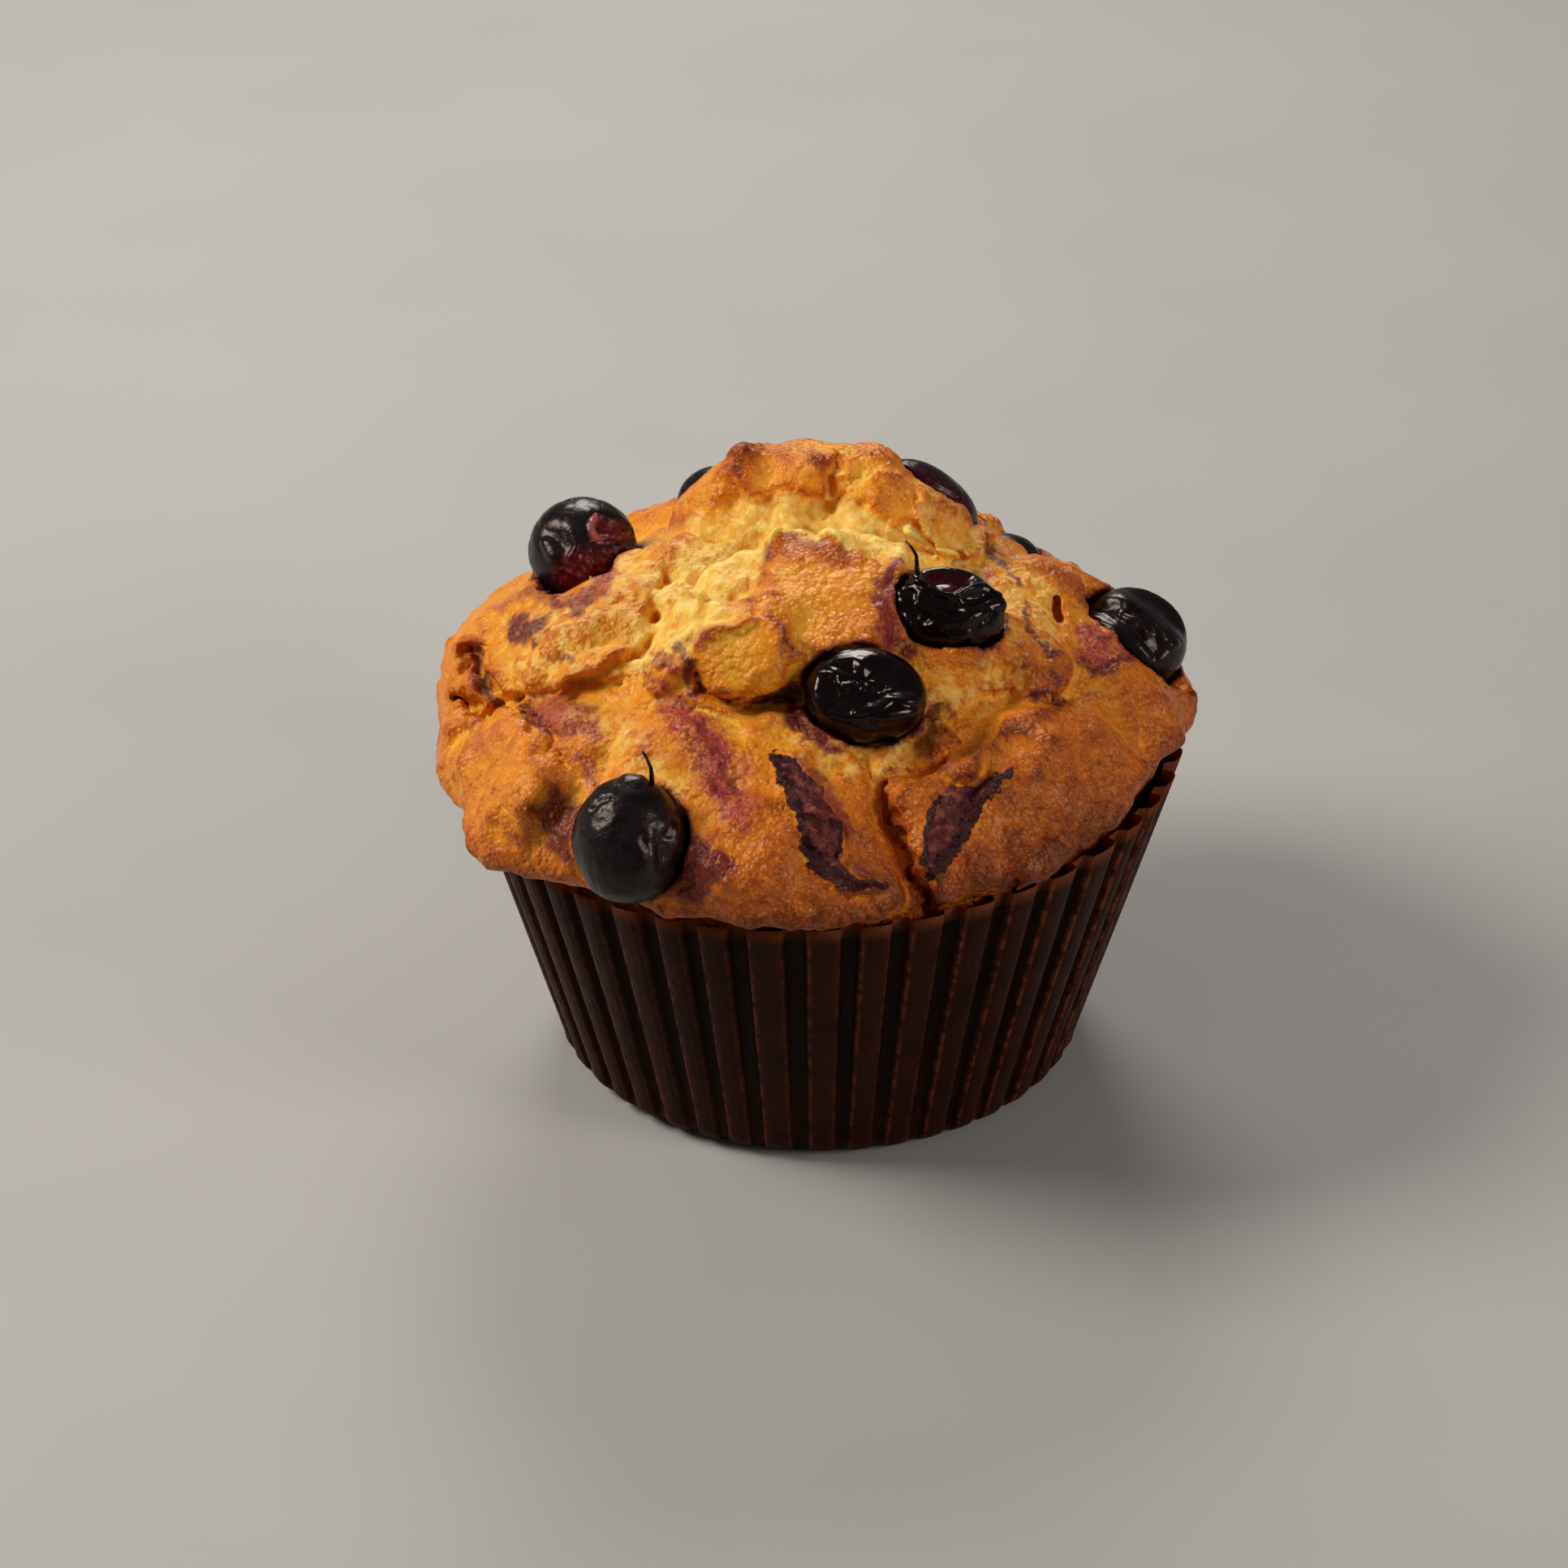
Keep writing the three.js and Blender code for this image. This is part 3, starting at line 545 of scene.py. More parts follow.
# Where the crust browns: the plain amount, on what stands up broadly, and how the narrow bulges add
TOAST = 0.37
TOAST_RAISED = 0.10
TOAST_BULGES = ((3, 0.6), (16, 0.45))
TOAST_EDGE = 0.15
JUICE_REACH = 0.55

# The mesh of the case
CASE_STEPS = 24
CASE_ROWS = 16
CORNER_STEPS = 5

# Colours on a screen, 0 to 255
CRUST_COLOURS = [
    (0.0, (252, 204, 76)),
    (0.25, (246, 172, 48)),
    (0.45, (234, 142, 34)),
    (0.62, (212, 112, 26)),
    (0.80, (168, 78, 22)),
    (1.0, (106, 42, 14)),
]
# Colours of the crumb, darker orange to cream; where the mesh's bulging picks among them, the darker end is
# painted shade in hollows
CRUMB_COLOURS = [
    (0.15, (232, 160, 52)),
    (0.4, (244, 188, 76)),
    (0.6, (250, 208, 106)),
    (0.85, (252, 226, 146)),
]
BURST_SKIN_COLOURS = [(0.3, (50, 14, 30)), (0.52, (104, 40, 48)), (0.72, (176, 92, 66))]
BURST_RIM = (52, 8, 26)
PINK_JUICE = (176, 60, 72)
PINK_FRECKLE = (108, 24, 40)
DARK_JUICE = (78, 12, 30)
BERRY_JUICE = (92, 22, 30)
CRUST_SHINE = (255, 222, 184)
BERRY_COLOURS = [(0.3, (7, 2, 3)), (0.6, (14, 5, 8)), (0.75, (32, 10, 13))]
FLESH_COLOURS = [(0.3, (58, 5, 14)), (0.55, (112, 14, 32)), (0.75, (190, 74, 84))]
TORN_EDGE = (226, 130, 132)
BERRY_DUST = (60, 48, 56)
BERRY_SHINE = (255, 232, 222)
PAPER_COLOURS = [(0.35, (29, 11, 6)), (0.65, (45, 17, 10))]
# Painted shade: near black in the narrow valleys between the pleats
PAPER_VALLEY_SHADE = (5, 2, 1)
# Painted reflection: the paper's lighter colour towards its base, where the floor is reflected
PAPER_LOW_REFLECTION = (48, 15, 9)
PAPER_FIBRE = (44, 17, 10)
# Painted highlight: the lighter lines on the shoulders of the pleats
PAPER_FOLD_HIGHLIGHT = (118, 56, 36)
# Painted light: the lighter reddish top edge of the paper, where light shines through it
PAPER_RIM_LIGHT = (110, 56, 32)
PAPER_SHINE = (255, 196, 150)
FLOOR_COLOURS = [(0.3, (176, 174, 170)), (0.7, (181, 179, 175))]

# Lights: place and size in millimetres, power and colour
LIGHTS = {
    "key": ((-430, 0, 400), 260, 2.65, (1.0, 0.95, 0.88)),
    "side": ((460, -260, 240), 220, 1.2, (1.0, 0.95, 0.9)),
    "back": ((-30, 440, 360), 220, 1.2, (1.0, 0.97, 0.93)),
}
LIGHTS_TARGET = np.array([0.0, 0.0, 35.0])
STUDIO_COLOUR = (0.92, 0.93, 0.95, 1)
STUDIO_LIGHT = 0.11
STUDIO_SEEN = 0.45


def smoothstep(low, high, value):
    t = np.clip((value - low) / (high - low), 0, 1)
    return t * t * (3 - 2 * t)


def lerp(a, b, t):
    return a + (b - a) * t


def soft_max(a, b, width):
    t = np.clip(0.5 + 0.5 * (a - b) / width, 0, 1)
    return lerp(b, a, t) + width * t * (1 - t)


def lattice_value(i, j, k):
    value = np.sin(i * 127.1 + j * 311.7 + k * 74.7) * 43758.5453
    return value - np.floor(value)


def noise(x, y, z):
    """Fixed random numbers on a lattice, blended smoothly between its corners, from -1 to 1."""
    x, y, z = np.broadcast_arrays(x, y, z)
    corner = [np.floor(v) for v in (x, y, z)]
    share = [smoothstep(0, 1, v - c) for v, c in zip((x, y, z), corner)]
    total = 0
    for i in (0, 1):
        for j in (0, 1):
            for k in (0, 1):
                weight = 1
                for side, part in zip((i, j, k), share):
                    weight = weight * (part if side else 1 - part)
                total = total + weight * lattice_value(corner[0] + i, corner[1] + j, corner[2] + k)
    return total * 2 - 1


def noise_at(points, size, seed):
    """Noise of one size in millimetres at 3-D points."""
    x, y, z = (points[:, axis] / size + seed * (3.1 + axis) for axis in range(3))
    return noise(x, y, z)


def ring_value(azimuth, column):
    """A value of the ring's table at any azimuth, eased from one line to the next."""
    table = np.array(RING, float)
    degrees = np.degrees(azimuth)
    after = np.clip(np.searchsorted(table[:, 0], degrees), 1, len(table) - 1)
    before = after - 1
    share = smoothstep(table[before, 0], table[after, 0], degrees)
    return lerp(table[before, column], table[after, column], share)


def rim_height(azimuth):
    return RIM_HEIGHT + RIM_LEAN * np.cos(azimuth)


def lip_height(azimuth):
    return np.maximum(ring_value(azimuth, 2), rim_height(azimuth) + LIP_CLEARANCE)


def up_the_wall(z):
    return (z - CORNER) / (RIM_HEIGHT - CORNER)


def wall_radius(z):
    return lerp(BASE_RADIUS, RIM_RADIUS, up_the_wall(z))


def flute_depth(z):
    return lerp(FLUTE_DEPTH_LOW, FLUTE_DEPTH_RIM, up_the_wall(z))


def side_radius(z):
    return wall_radius(z) - flute_depth(z) - CAD_PAPER - GAP


SIDE_SLOPE = (side_radius(RIM_HEIGHT) - side_radius(CORNER)) / (RIM_HEIGHT - CORNER)


def swelling(lobe, x, y):
    """How much of a lobe or plate shows at a place on the map: 1 on its flat top and 0 outside."""
    at_x, at_y, length, width, turn, _, flat = lobe
    turn = np.radians(turn)
    dx, dy = x - at_x, y - at_y
    along = (dx * np.cos(turn) + dy * np.sin(turn)) / length
    across = (dy * np.cos(turn) - dx * np.sin(turn)) / width
    return 1 - smoothstep(flat, 1, np.hypot(along, across))


def nearest_on(start, end, x, y):
    """How far along a segment the nearest point lies, from 0 to 1, and the distance to it."""
    dx, dy = end[0] - start[0], end[1] - start[1]
    share = np.clip(((x - start[0]) * dx + (y - start[1]) * dy) / (dx * dx + dy * dy), 0, 1)
    return share, np.hypot(x - start[0] - share * dx, y - start[1] - share * dy)


def distance_to_path(path, x, y):
    nearest = np.full(np.shape(x), np.inf)
    for start, end in zip(path[:-1], path[1:]):
        nearest = np.minimum(nearest, nearest_on(start, end, x, y)[1])
    return nearest


def relief(map_x, map_y):
    """Height of the crust's relief over the plain dome."""

    def shift(at, layer, size):
        return noise(map_x / size + at, map_y / size, layer)

    x = map_x + WARP * (shift(3.1, 0.5, WARP_BROAD) + 0.5 * shift(7, 2.5, WARP_SMALL))
    y = map_y + WARP * (shift(31, 5.5, WARP_BROAD) + 0.5 * shift(17, 7.5, WARP_SMALL))
    height = ROUGH * noise(x / ROUGH_BROAD, y / ROUGH_BROAD, 9.5)
    height = height + ROUGH * noise(x / ROUGH_SMALL, y / ROUGH_SMALL, 11.5)
    for lobe in LOBES.values():
        height = soft_max(height, (lobe[5] + SOFT_JOIN) * swelling(lobe, x, y) - SOFT_JOIN, SOFT_JOIN)
    for plate in PLATES.values():
        height = height + plate[5] * swelling(plate, x, y)
    for path, width, depth in CRACKS.values():
        height = height - depth * np.exp(-((distance_to_path(path, x, y) / width) ** CRACK_POWER))
    return height


def surface_radius(map_x, map_y):
    """Distance from the dome's centre to the muffin's surface in a direction on the map."""
    azimuth = np.arctan2(map_y, map_x)
    tilt = np.radians(np.hypot(map_x, map_y))
    level, rise = np.sin(tilt), np.cos(tilt)
    across = level / ring_value(azimuth, 1)
    plain = (across**DOME_POWER + (np.abs(rise) / DOME_RISE) ** DOME_POWER) ** (-1 / DOME_POWER)
    dome = plain + relief(map_x, map_y)
    away = level - SIDE_SLOPE * rise
    side = side_radius(DOME_CENTRE[2]) / np.maximum(away, 0.001)
    lip = lip_height(azimuth)
    share = smoothstep(lip + LIP_START, lip + LIP_ROUND, DOME_CENTRE[2] + side * rise)
    return np.where(away > 0.001, lerp(side, dome, share), dome)


def make_map():
    axis = np.arange(-MAP_REACH, MAP_REACH + MAP_STEP, MAP_STEP)
    map_x, map_y = np.meshgrid(axis, axis, indexing="ij")
    return surface_radius(map_x, map_y).astype(np.float32)


def blurred(table, cells):
    """A table smoothed by three box averages along each axis."""
    for axis in (0, 1):
        for _ in range(3):
            padded = np.concatenate([np.repeat(table.take([0], axis), cells + 1, axis), table,
                                     np.repeat(table.take([-1], axis), cells, axis)], axis)
            total = np.cumsum(padded, axis, dtype=np.float64)
            width = 2 * cells + 1
            count = table.shape[axis]
            table = (total.take(range(width, width + count), axis) - total.take(range(count), axis)) / width
    return table


def read_map(table, map_x, map_y):
    """A map's value between its cells."""
    x = np.clip((map_x + MAP_REACH) / MAP_STEP, 0, table.shape[0] - 1.001)
    y = np.clip((map_y + MAP_REACH) / MAP_STEP, 0, table.shape[1] - 1.001)
    i, j = x.astype(int), y.astype(int)
    s, t = x - i, y - j
    low = table[i, j] * (1 - s) + table[i + 1, j] * s
    high = table[i, j + 1] * (1 - s) + table[i + 1, j + 1] * s
    return low * (1 - t) + high * t


def map_place(points):
    """Place on the map of 3-D points, and their distance from the dome's centre."""
    away = points - DOME_CENTRE
    level = np.hypot(away[..., 0], away[..., 1])
    tilt = np.degrees(np.arctan2(level, away[..., 2]))
    level = np.maximum(level, 1e-9)
    return tilt * away[..., 0] / level, tilt * away[..., 1] / level, np.linalg.norm(away, axis=-1)


def pixels(points):
    """Where the camera sees 3-D points, in the photograph's pixels."""
    away = points - CAMERA_PLACE
    depth = -(away @ CAMERA_BACK)
    across = PHOTO_PIXELS / 2 + FOCAL_PIXELS * (away @ CAMERA_RIGHT) / depth
    down = PHOTO_PIXELS / 2 - FOCAL_PIXELS * (away @ CAMERA_UP) / depth
    return across, down


def stroke(path, across, down, ragged, soft):
    """1 on a painted stroke and 0 off it, with a ragged or a soft edge."""
    nearest = np.full(across.shape, np.inf)
    for start, end in zip(path[:-1], path[1:]):
        share, away = nearest_on(start, end, across, down)
        nearest = np.minimum(nearest, away / lerp(start[2], end[2], share))
    return 1 - smoothstep(1 - soft, 1 + soft, nearest + ragged)


def inside_outline(outline, across, down, edge):
    """1 inside an outline and 0 outside it, with an edge of some half width."""
    share = np.zeros(across.shape)
    low, high = np.min(outline, 0) - 2 * edge, np.max(outline, 0) + 2 * edge
    near = (across > low[0]) & (across < high[0]) & (down > low[1]) & (down < high[1])
    u, v = across[near], down[near]
    nearest = np.full(u.shape, np.inf)
    inside = np.zeros(u.shape, bool)
    for start, end in zip(outline, outline[1:] + outline[:1]):
        nearest = np.minimum(nearest, nearest_on(start, end, u, v)[1])
        (au, av), (bu, bv) = start, end
        if av != bv:
            inside ^= ((av > v) != (bv > v)) & (u < au + (bu - au) * (v - av) / (bv - av))
    share[near] = smoothstep(-edge, edge, np.where(inside, nearest, -nearest))
    return share


def shape_share(shape, across, down, stroke_edge, outline_edge):
    """1 on a stroke or inside an outline. Only a stroke's points have a half width as a third number."""
    if len(shape[0]) == 3:
        return stroke(shape, across, down, 0, stroke_edge)
    return inside_outline(shape, across, down, outline_edge)


def in_front(points):
    """1 on the side of the ridge that the camera sees, and 0 behind it."""
    return smoothstep(46, 36, map_place(points)[1])


def painted(paths, points, ragged, soft):
    """The strongest of a set of strokes at 3-D points, which lie in front of the ridge."""
    across, down = pixels(points)
    total = np.zeros(len(points))
    for path in paths:
        total = np.maximum(total, stroke(path, across, down, ragged, soft))
    return total * in_front(points)


def stained(points, ragged_across, ragged_down):
    """How pink and how dark the stains are at 3-D points. Their edges wander by some pixels."""
    across, down = pixels(points)
    across = across + ragged_across
    down = down + ragged_down
    pink = np.zeros(len(points))
    dark = np.zeros(len(points))
    for how_pink, how_dark, shape in STAINS.values():
        share = shape_share(shape, across, down, 0.45, 5)
        pink = np.maximum(pink, how_pink * share)
        dark = np.maximum(dark, how_dark * share)
    front = in_front(points)
    return pink * front, dark * front


def patch_shares(across, down):
    """Where the whole crust of the patches covers the torn crumb, and where their edges run."""
    crust = np.zeros(across.shape)
    crust_edge = np.zeros(across.shape)
    for name, (_, _, _, outline) in PATCHES.items():
        if name in CRUSTY:
            crust = np.maximum(crust, inside_outline(outline, across, down, 4))
        if name in BROWN_EDGED:
            share = inside_outline(outline, across, down, 14)
            crust_edge = np.maximum(crust_edge, 4 * share * (1 - share))
    return crust, crust_edge


def flattened(distance, points, share):
    """The distance to a surface that is flattened by a share towards the plane which fits it there."""
    on = (share > 0.3) & (np.abs(distance) < 0.4)
    middle = points[on].mean(0)
    away = points[on] - middle
    normal = np.linalg.eigh(away.T @ away)[1][:, 0]
    normal = normal * np.sign(normal @ (middle - DOME_CENTRE))
    return lerp(distance, (points - middle) @ normal, share)


def patch_height(across, down):
    """How far the crisp patches stand over the crust around them."""
    total = np.zeros(across.shape)
    for height, edge, fade, outline in PATCHES.values():
        share = inside_outline(outline, across, down, edge)
        if fade:
            share = share * (1 - smoothstep(0, 1, nearest_on(*fade, across, down)[0]))
        total = np.maximum(total, height * share)
    return total


def cell_bumps(points, size, seed):
    """Round bumps of one size in millimetres with narrow valleys between them, from 0 to about 1."""
    places = points / size
    corner = np.floor(places)
    nearest = np.full(len(points), 9.0)
    for i in (-1, 0, 1):
        for j in (-1, 0, 1):
            for k in (-1, 0, 1):
                cell = corner + (i, j, k)
                away = 0
                for axis in range(3):
                    jitter = lattice_value(cell[:, 0] + seed, cell[:, 1] + 7 * axis, cell[:, 2])
                    away = away + (cell[:, axis] + jitter - places[:, axis]) ** 2
                nearest = np.minimum(nearest, away)
    return 1 - np.clip(nearest, 0, 1)


def turned(turn):
    """The rotation matrix of turns about X, Y and Z."""
    x, y, z = np.radians(turn)
    about_x = np.array([[1, 0, 0], [0, np.cos(x), -np.sin(x)], [0, np.sin(x), np.cos(x)]])
    about_y = np.array([[np.cos(y), 0, np.sin(y)], [0, 1, 0], [-np.sin(y), 0, np.cos(y)]])
    about_z = np.array([[np.cos(z), -np.sin(z), 0], [np.sin(z), np.cos(z), 0], [0, 0, 1]])
    return about_x @ about_y @ about_z


def distance_to_berry(berry, points):
    """About how far points are outside a berry's plain shape."""
    at, size, turn = berry
    local = (points - np.array(at)) @ turned(turn)
    scaled = np.linalg.norm(local / size, axis=1)
    steep = np.linalg.norm(local / np.square(size), axis=1)
    return scaled * (scaled - 1) / np.maximum(steep, 1e-6)


def spline_weights(places, count):
    """Rows of cubic B-spline weights that read a lattice of values at these places."""
    rows = np.zeros((len(places), count))
    cell = np.floor(places).astype(int)
    t = places - cell
    parts = (1 - t) ** 3, 3 * t**3 - 6 * t**2 + 4, -3 * t**3 + 3 * t**2 + 3 * t + 1, t**3
    for step, part in enumerate(parts):
        rows[np.arange(len(places)), cell + step] = part / 6
    return rows


def noise_volume(axes, size, seed):
    """Smooth noise on the whole grid, with a spread of 1. Size is in millimetres."""
    values = None
    for axis, places in enumerate(axes):
        count = int((places[-1] - places[0]) / size) + 5
        weights = spline_weights((places - places[0]) / size, count)
        if values is None:
            counts = [int((p[-1] - p[0]) / size) + 5 for p in axes]
            values = np.random.default_rng(seed).standard_normal(counts)
        values = np.moveaxis(np.tensordot(weights, values, (1, axis)), 0, axis)
    return (values / values.std()).astype(np.float32)


def crumb_share(points, ragged):
    """How torn and crumbly the surface is: 1 in the fissure, less on half-torn slopes."""
    torn = painted(TORN.values(), points, ragged, 0.2)
    half = painted(HALF_TORN.values(), points, ragged, 0.5)
    return np.maximum(torn, 0.25 * half)


def plain_distance(radius_map, points):
    """About how far points are outside the muffin, before its fine relief."""
    map_x, map_y, far = map_place(points)
    return far - read_map(radius_map, map_x, map_y)


def weighted(weights, layers):
    return sum(weight * layer for weight, layer in zip(weights, layers))


def dressed(distance, band, across, down, bumps, grains):
    """The distance with flattened and standing patches, carved cracks and burst skins."""
    front = in_front(band)
    for name, share in FLAT.items():
        inside = inside_outline(PATCHES[name][3], across, down, FLAT_EDGE)
        distance = flattened(distance, band, share * front * inside)
    distance = distance - front * patch_height(across, down)
    for path, depth in CARVED.values():
        distance = distance + front * depth * stroke(path, across, down, 0, 0.5)
    for outline in SKINS.values():
        height = SKIN_RELIEF[0] + SKIN_RELIEF[1] * bumps
        distance = distance - height * front * inside_outline(outline, across, down, 3)
    for path in SKIN_RIMS.values():
        height = RIM_RELIEF[0] + RIM_RELIEF[1] * bumps
        distance = distance - height * front * stroke(path, across, down, 0.4 * grains, 0.5)
    return distance


def with_sockets(distance, band, across, down):
    """The distance with a collar and a socket for each berry, and a window in the crust over some."""
    for name, berry in BERRIES.items():
        away = band - np.array(berry[0])
        close = np.linalg.norm(away, axis=1) < SOCKET_REACH
        outside = distance_to_berry(berry, band[close])
        raised = distance[close] - COLLAR_HEIGHT * np.exp(-((outside / COLLAR_WIDTH) ** 2))
        distance[close] = np.maximum(raised, SOCKET_GAP - outside)
        if name in WINDOWS:
            ahead = away[close] @ CAMERA_BACK > 0
            opened = inside_outline(WINDOWS[name], across[close], down[close], 4)
            distance[close] += WINDOW_DEPTH * ahead * opened
    return distance


def inside_case(distance, band):
    """The distance of a cake that stays inside the case's folds below its rim."""
    out = np.hypot(band[:, 0], band[:, 1])
    rim = rim_height(np.arctan2(band[:, 1], band[:, 0]))
    cased = (band[:, 2] < rim) & (out < wall_radius(band[:, 2]))
    distance[cased] = np.maximum(distance, out - side_radius(band[:, 2]))[cased]
    return distance


def cake_field(radius_map, axes):
    """Signed distance to the muffin's surface on the grid, negative inside."""
    x, y, z = np.meshgrid(*axes, indexing="ij")
    points = np.stack([x, y, z], -1).reshape(-1, 3)
    rough = plain_distance(radius_map, points)
    low = points[:, 2] < PLAIN_TOP
    rough[low] = (np.hypot(points[:, 0], points[:, 1]) - side_radius(points[:, 2]))[low]
    near = np.abs(rough) < BAND
    band = points[near]

    def volume(size, seed):
        return noise_volume(axes, size, seed).reshape(-1)[near]

    ragged = weighted((0.3, 0.2), (volume(*VOLUMES["ragged small"]), volume(*VOLUMES["ragged broad"])))
    crumb = crumb_share(band, ragged)
    across, down = pixels(band)
    crust, _ = patch_shares(across, down)
    crumb = crumb * (1 - crust)
    moved = band.copy()
    above = smoothstep(30, 34, band[:, 2])
    for axis in range(3):
        shift = sum(gain * volume(size, seed + axis) for size, seed, gain in SHIFTS.values())
        moved[:, axis] += above * shift * (0.6 + 0.8 * crumb)
    fine = rough.copy()
    fine[near] = plain_distance(radius_map, moved)
    fine[near & low] = rough[near & low]
    field = np.clip(fine, -BAND, BAND).reshape(x.shape)
    slope = np.sqrt(sum(g * g for g in np.gradient(field, VOXEL)))
    field = (field / np.maximum(slope, 0.7)).reshape(-1)

    distance = field[near]
    layers = [volume(*VOLUMES[name]) for name in ("lumps", "bumps", "grains")]
    smooth = SMOOTHNESS * inside_outline(PATCHES[SMOOTH_PATCH][3], across, down, 10) * in_front(band)
    crust_relief = weighted(CRUST_RELIEF, layers) * (1 - smooth)
    low_edge = smoothstep(44, 37, band[:, 2])
    crust_relief += low_edge * LOW_EDGE_RELIEF * volume(*VOLUMES["low edge"])
    torn_relief = weighted(TORN_RELIEF, layers)
    torn = (crumb > 0.02) & (np.abs(distance) < 1.6)
    torn_relief[torn] += CRUMB_CELL_HEIGHT * cell_bumps(moved[torn], CRUMB_CELL, 3) - CRUMB_CELL_HEIGHT / 2
    torn_relief -= PIT_DEPTH * smoothstep(1.0, 2.0, volume(*VOLUMES["pits"]))
    distance = distance - above * lerp(crust_relief, torn_relief, crumb)
    lumps, bumps, grains = layers
    across = across + 4 * bumps + 2.5 * grains
    down = down + 4 * lumps - 2 * grains
    distance = dressed(distance, band, across, down, bumps, grains)
    distance = with_sockets(distance, band, across, down)
    field[near] = inside_case(distance, band)
    return np.clip(field, -BAND, BAND).reshape(x.shape).astype(np.float32)


def sides_of(faces):
    """The edges of four-sided faces, as pairs of points in the order that the faces go around."""
    return np.concatenate([faces[:, [i, (i + 1) % 4]] for i in range(4)])


def compact(points, faces):
    """A mesh with only the points that its faces use."""
    used, faces = np.unique(faces, return_inverse=True)
    return points[used], faces.reshape(-1, 4)


def boundary_loop(faces, count):
    """The one open edge loop of a mesh, in order."""
    edges = sides_of(faces)
    key = edges[:, 0].astype(np.int64) * count + edges[:, 1]
    back = edges[:, 1].astype(np.int64) * count + edges[:, 0]
    single = edges[~np.isin(key, back)]
    follow = {a: b for a, b in single.tolist()}
    start = single[0][0]
    loop = [start]
    while follow[loop[-1]] != start:
        loop.append(follow[loop[-1]])
    return np.array(loop)


def cake_mesh(radius_map):
    """Points and faces of the muffin's fine top, open where it is cut off inside the case."""
    across = np.arange(-GRID_REACH, GRID_REACH + VOXEL, VOXEL)
    upward = np.arange(GRID_LOW, GRID_TOP, VOXEL)
    axes = across, across, upward
    grid = openvdb.FloatGrid(BAND)
    grid.copyFromArray(cake_field(radius_map, axes))
    points, _, quads = grid.convertToPolygons(0.0, 0.0)
    points = points * VOXEL + np.array([axis[0] for axis in axes])
    faces = quads.astype(np.int64)
    kept = (points[faces][:, :, 2] > CUT_HEIGHT).all(1)
    return compact(points, faces[kept])


def largest_part(points, faces):
    """The mesh without loose scraps."""
    label = np.arange(len(points))
    while True:
        low = label[faces].min(1)
        new = label.copy()
        np.minimum.at(new, faces.ravel(), np.repeat(low, 4))
        new = new[new]
        if (new == label).all():
            break
        label = new
    names, counts = np.unique(label[faces[:, 0]], return_counts=True)
    return compact(points, faces[label[faces[:, 0]] == names[counts.argmax()]])


def closed_below(points, faces):
    """The mesh with its open lower edge drawn down the case's wall, and the loop that closes its base."""
    loop = boundary_loop(faces, len(points))
    azimuth = np.arctan2(points[loop, 1], points[loop, 0])
    rings = [loop]
    parts = [points]
    total = len(points)
    for radius, z in ((side_radius(CORNER), CORNER), (side_radius(CORNER) - CORNER + GAP, CAD_PAPER + GAP)):
        ring = np.stack([radius * np.cos(azimuth), radius * np.sin(azimuth), np.full(len(loop), z)], 1)
        parts.append(ring)
        rings.append(np.arange(total, total + len(loop)))
        total += len(loop)
    walls = []
    for upper, lower in zip(rings[:-1], rings[1:]):
        walls.append(np.stack([np.roll(upper, -1), upper, lower, np.roll(lower, -1)], 1))
    return np.concatenate(parts), np.concatenate([faces, *walls]), rings[-1][::-1]


def make_object(name, points, faces, extra=()):
    """A smooth mesh object from points in millimetres."""
    mesh = bpy.data.meshes.new(name)
    polygons = np.asarray(faces).tolist() + [list(face) for face in extra]
    mesh.from_pydata((np.asarray(points) * MM).tolist(), [], polygons)
    mesh.shade_smooth()
    mesh.update()
    obj = bpy.data.objects.new(name, mesh)
    bpy.context.scene.collection.objects.link(obj)
    return obj


def store(obj, name, values):
    attribute = obj.data.attributes.new(name, "FLOAT", "POINT")
    attribute.data.foreach_set("value", np.asarray(values, np.float32))


def vertex_normals(obj):
    normals = np.zeros(len(obj.data.vertices) * 3, np.float32)
    obj.data.vertices.foreach_get("normal", normals)
    return normals.reshape(-1, 3)


def bulging(points, faces, normals, steps):
    """How far each point stands over the smoothed mesh around it, in millimetres."""
    links = sides_of(faces)
    count = np.bincount(links[:, 0], minlength=len(points))
    smooth = points
    for _ in range(steps):
        total = [np.bincount(links[:, 0], smooth[links[:, 1], axis], len(points)) for axis in range(3)]
        smooth = np.stack(total, 1) / np.maximum(count, 1)[:, None]
    return ((points - smooth) * normals).sum(1)


def thinned(obj, most):
    """Join the smallest faces of a mesh until it has at most this many triangles."""
    obj.data.calc_loop_triangles()
    share = most / len(obj.data.loop_triangles)
    if share < 1:
        obj.modifiers.new("thin", "DECIMATE").ratio = share
        bpy.context.view_layer.objects.active = obj
        bpy.ops.object.modifier_apply(modifier="thin")


def browning(points, faces, normals, facing, ragged, radius_map):
    """How brown the crust is: more where it stands up, and where the tables of browning say so."""
    map_x, map_y, _ = map_place(points)
    raised = radius_map - blurred(radius_map, RAISED_CELLS)
    bulge = read_map(raised.astype(np.float32), map_x, map_y)
    toast = TOAST + TOAST_RAISED * np.clip(bulge, -1.2, 1.2)
    toast += 0.06 * noise_at(points, 7, 4) + 0.03 * noise_at(points, 2.6, 5)
    for steps, gain in TOAST_BULGES:
        toast += np.clip(gain * bulging(points, faces, normals, steps), -0.14, 0.15)
    for at_x, at_y, reach, amount in BROWNING.values():
        toast += amount * np.exp(-((np.hypot(map_x - at_x, map_y - at_y) / reach) ** 2))
    for amount, path in BROWNED.values():
        toast += amount * painted([path], points, ragged, 0.8) * facing
    return toast


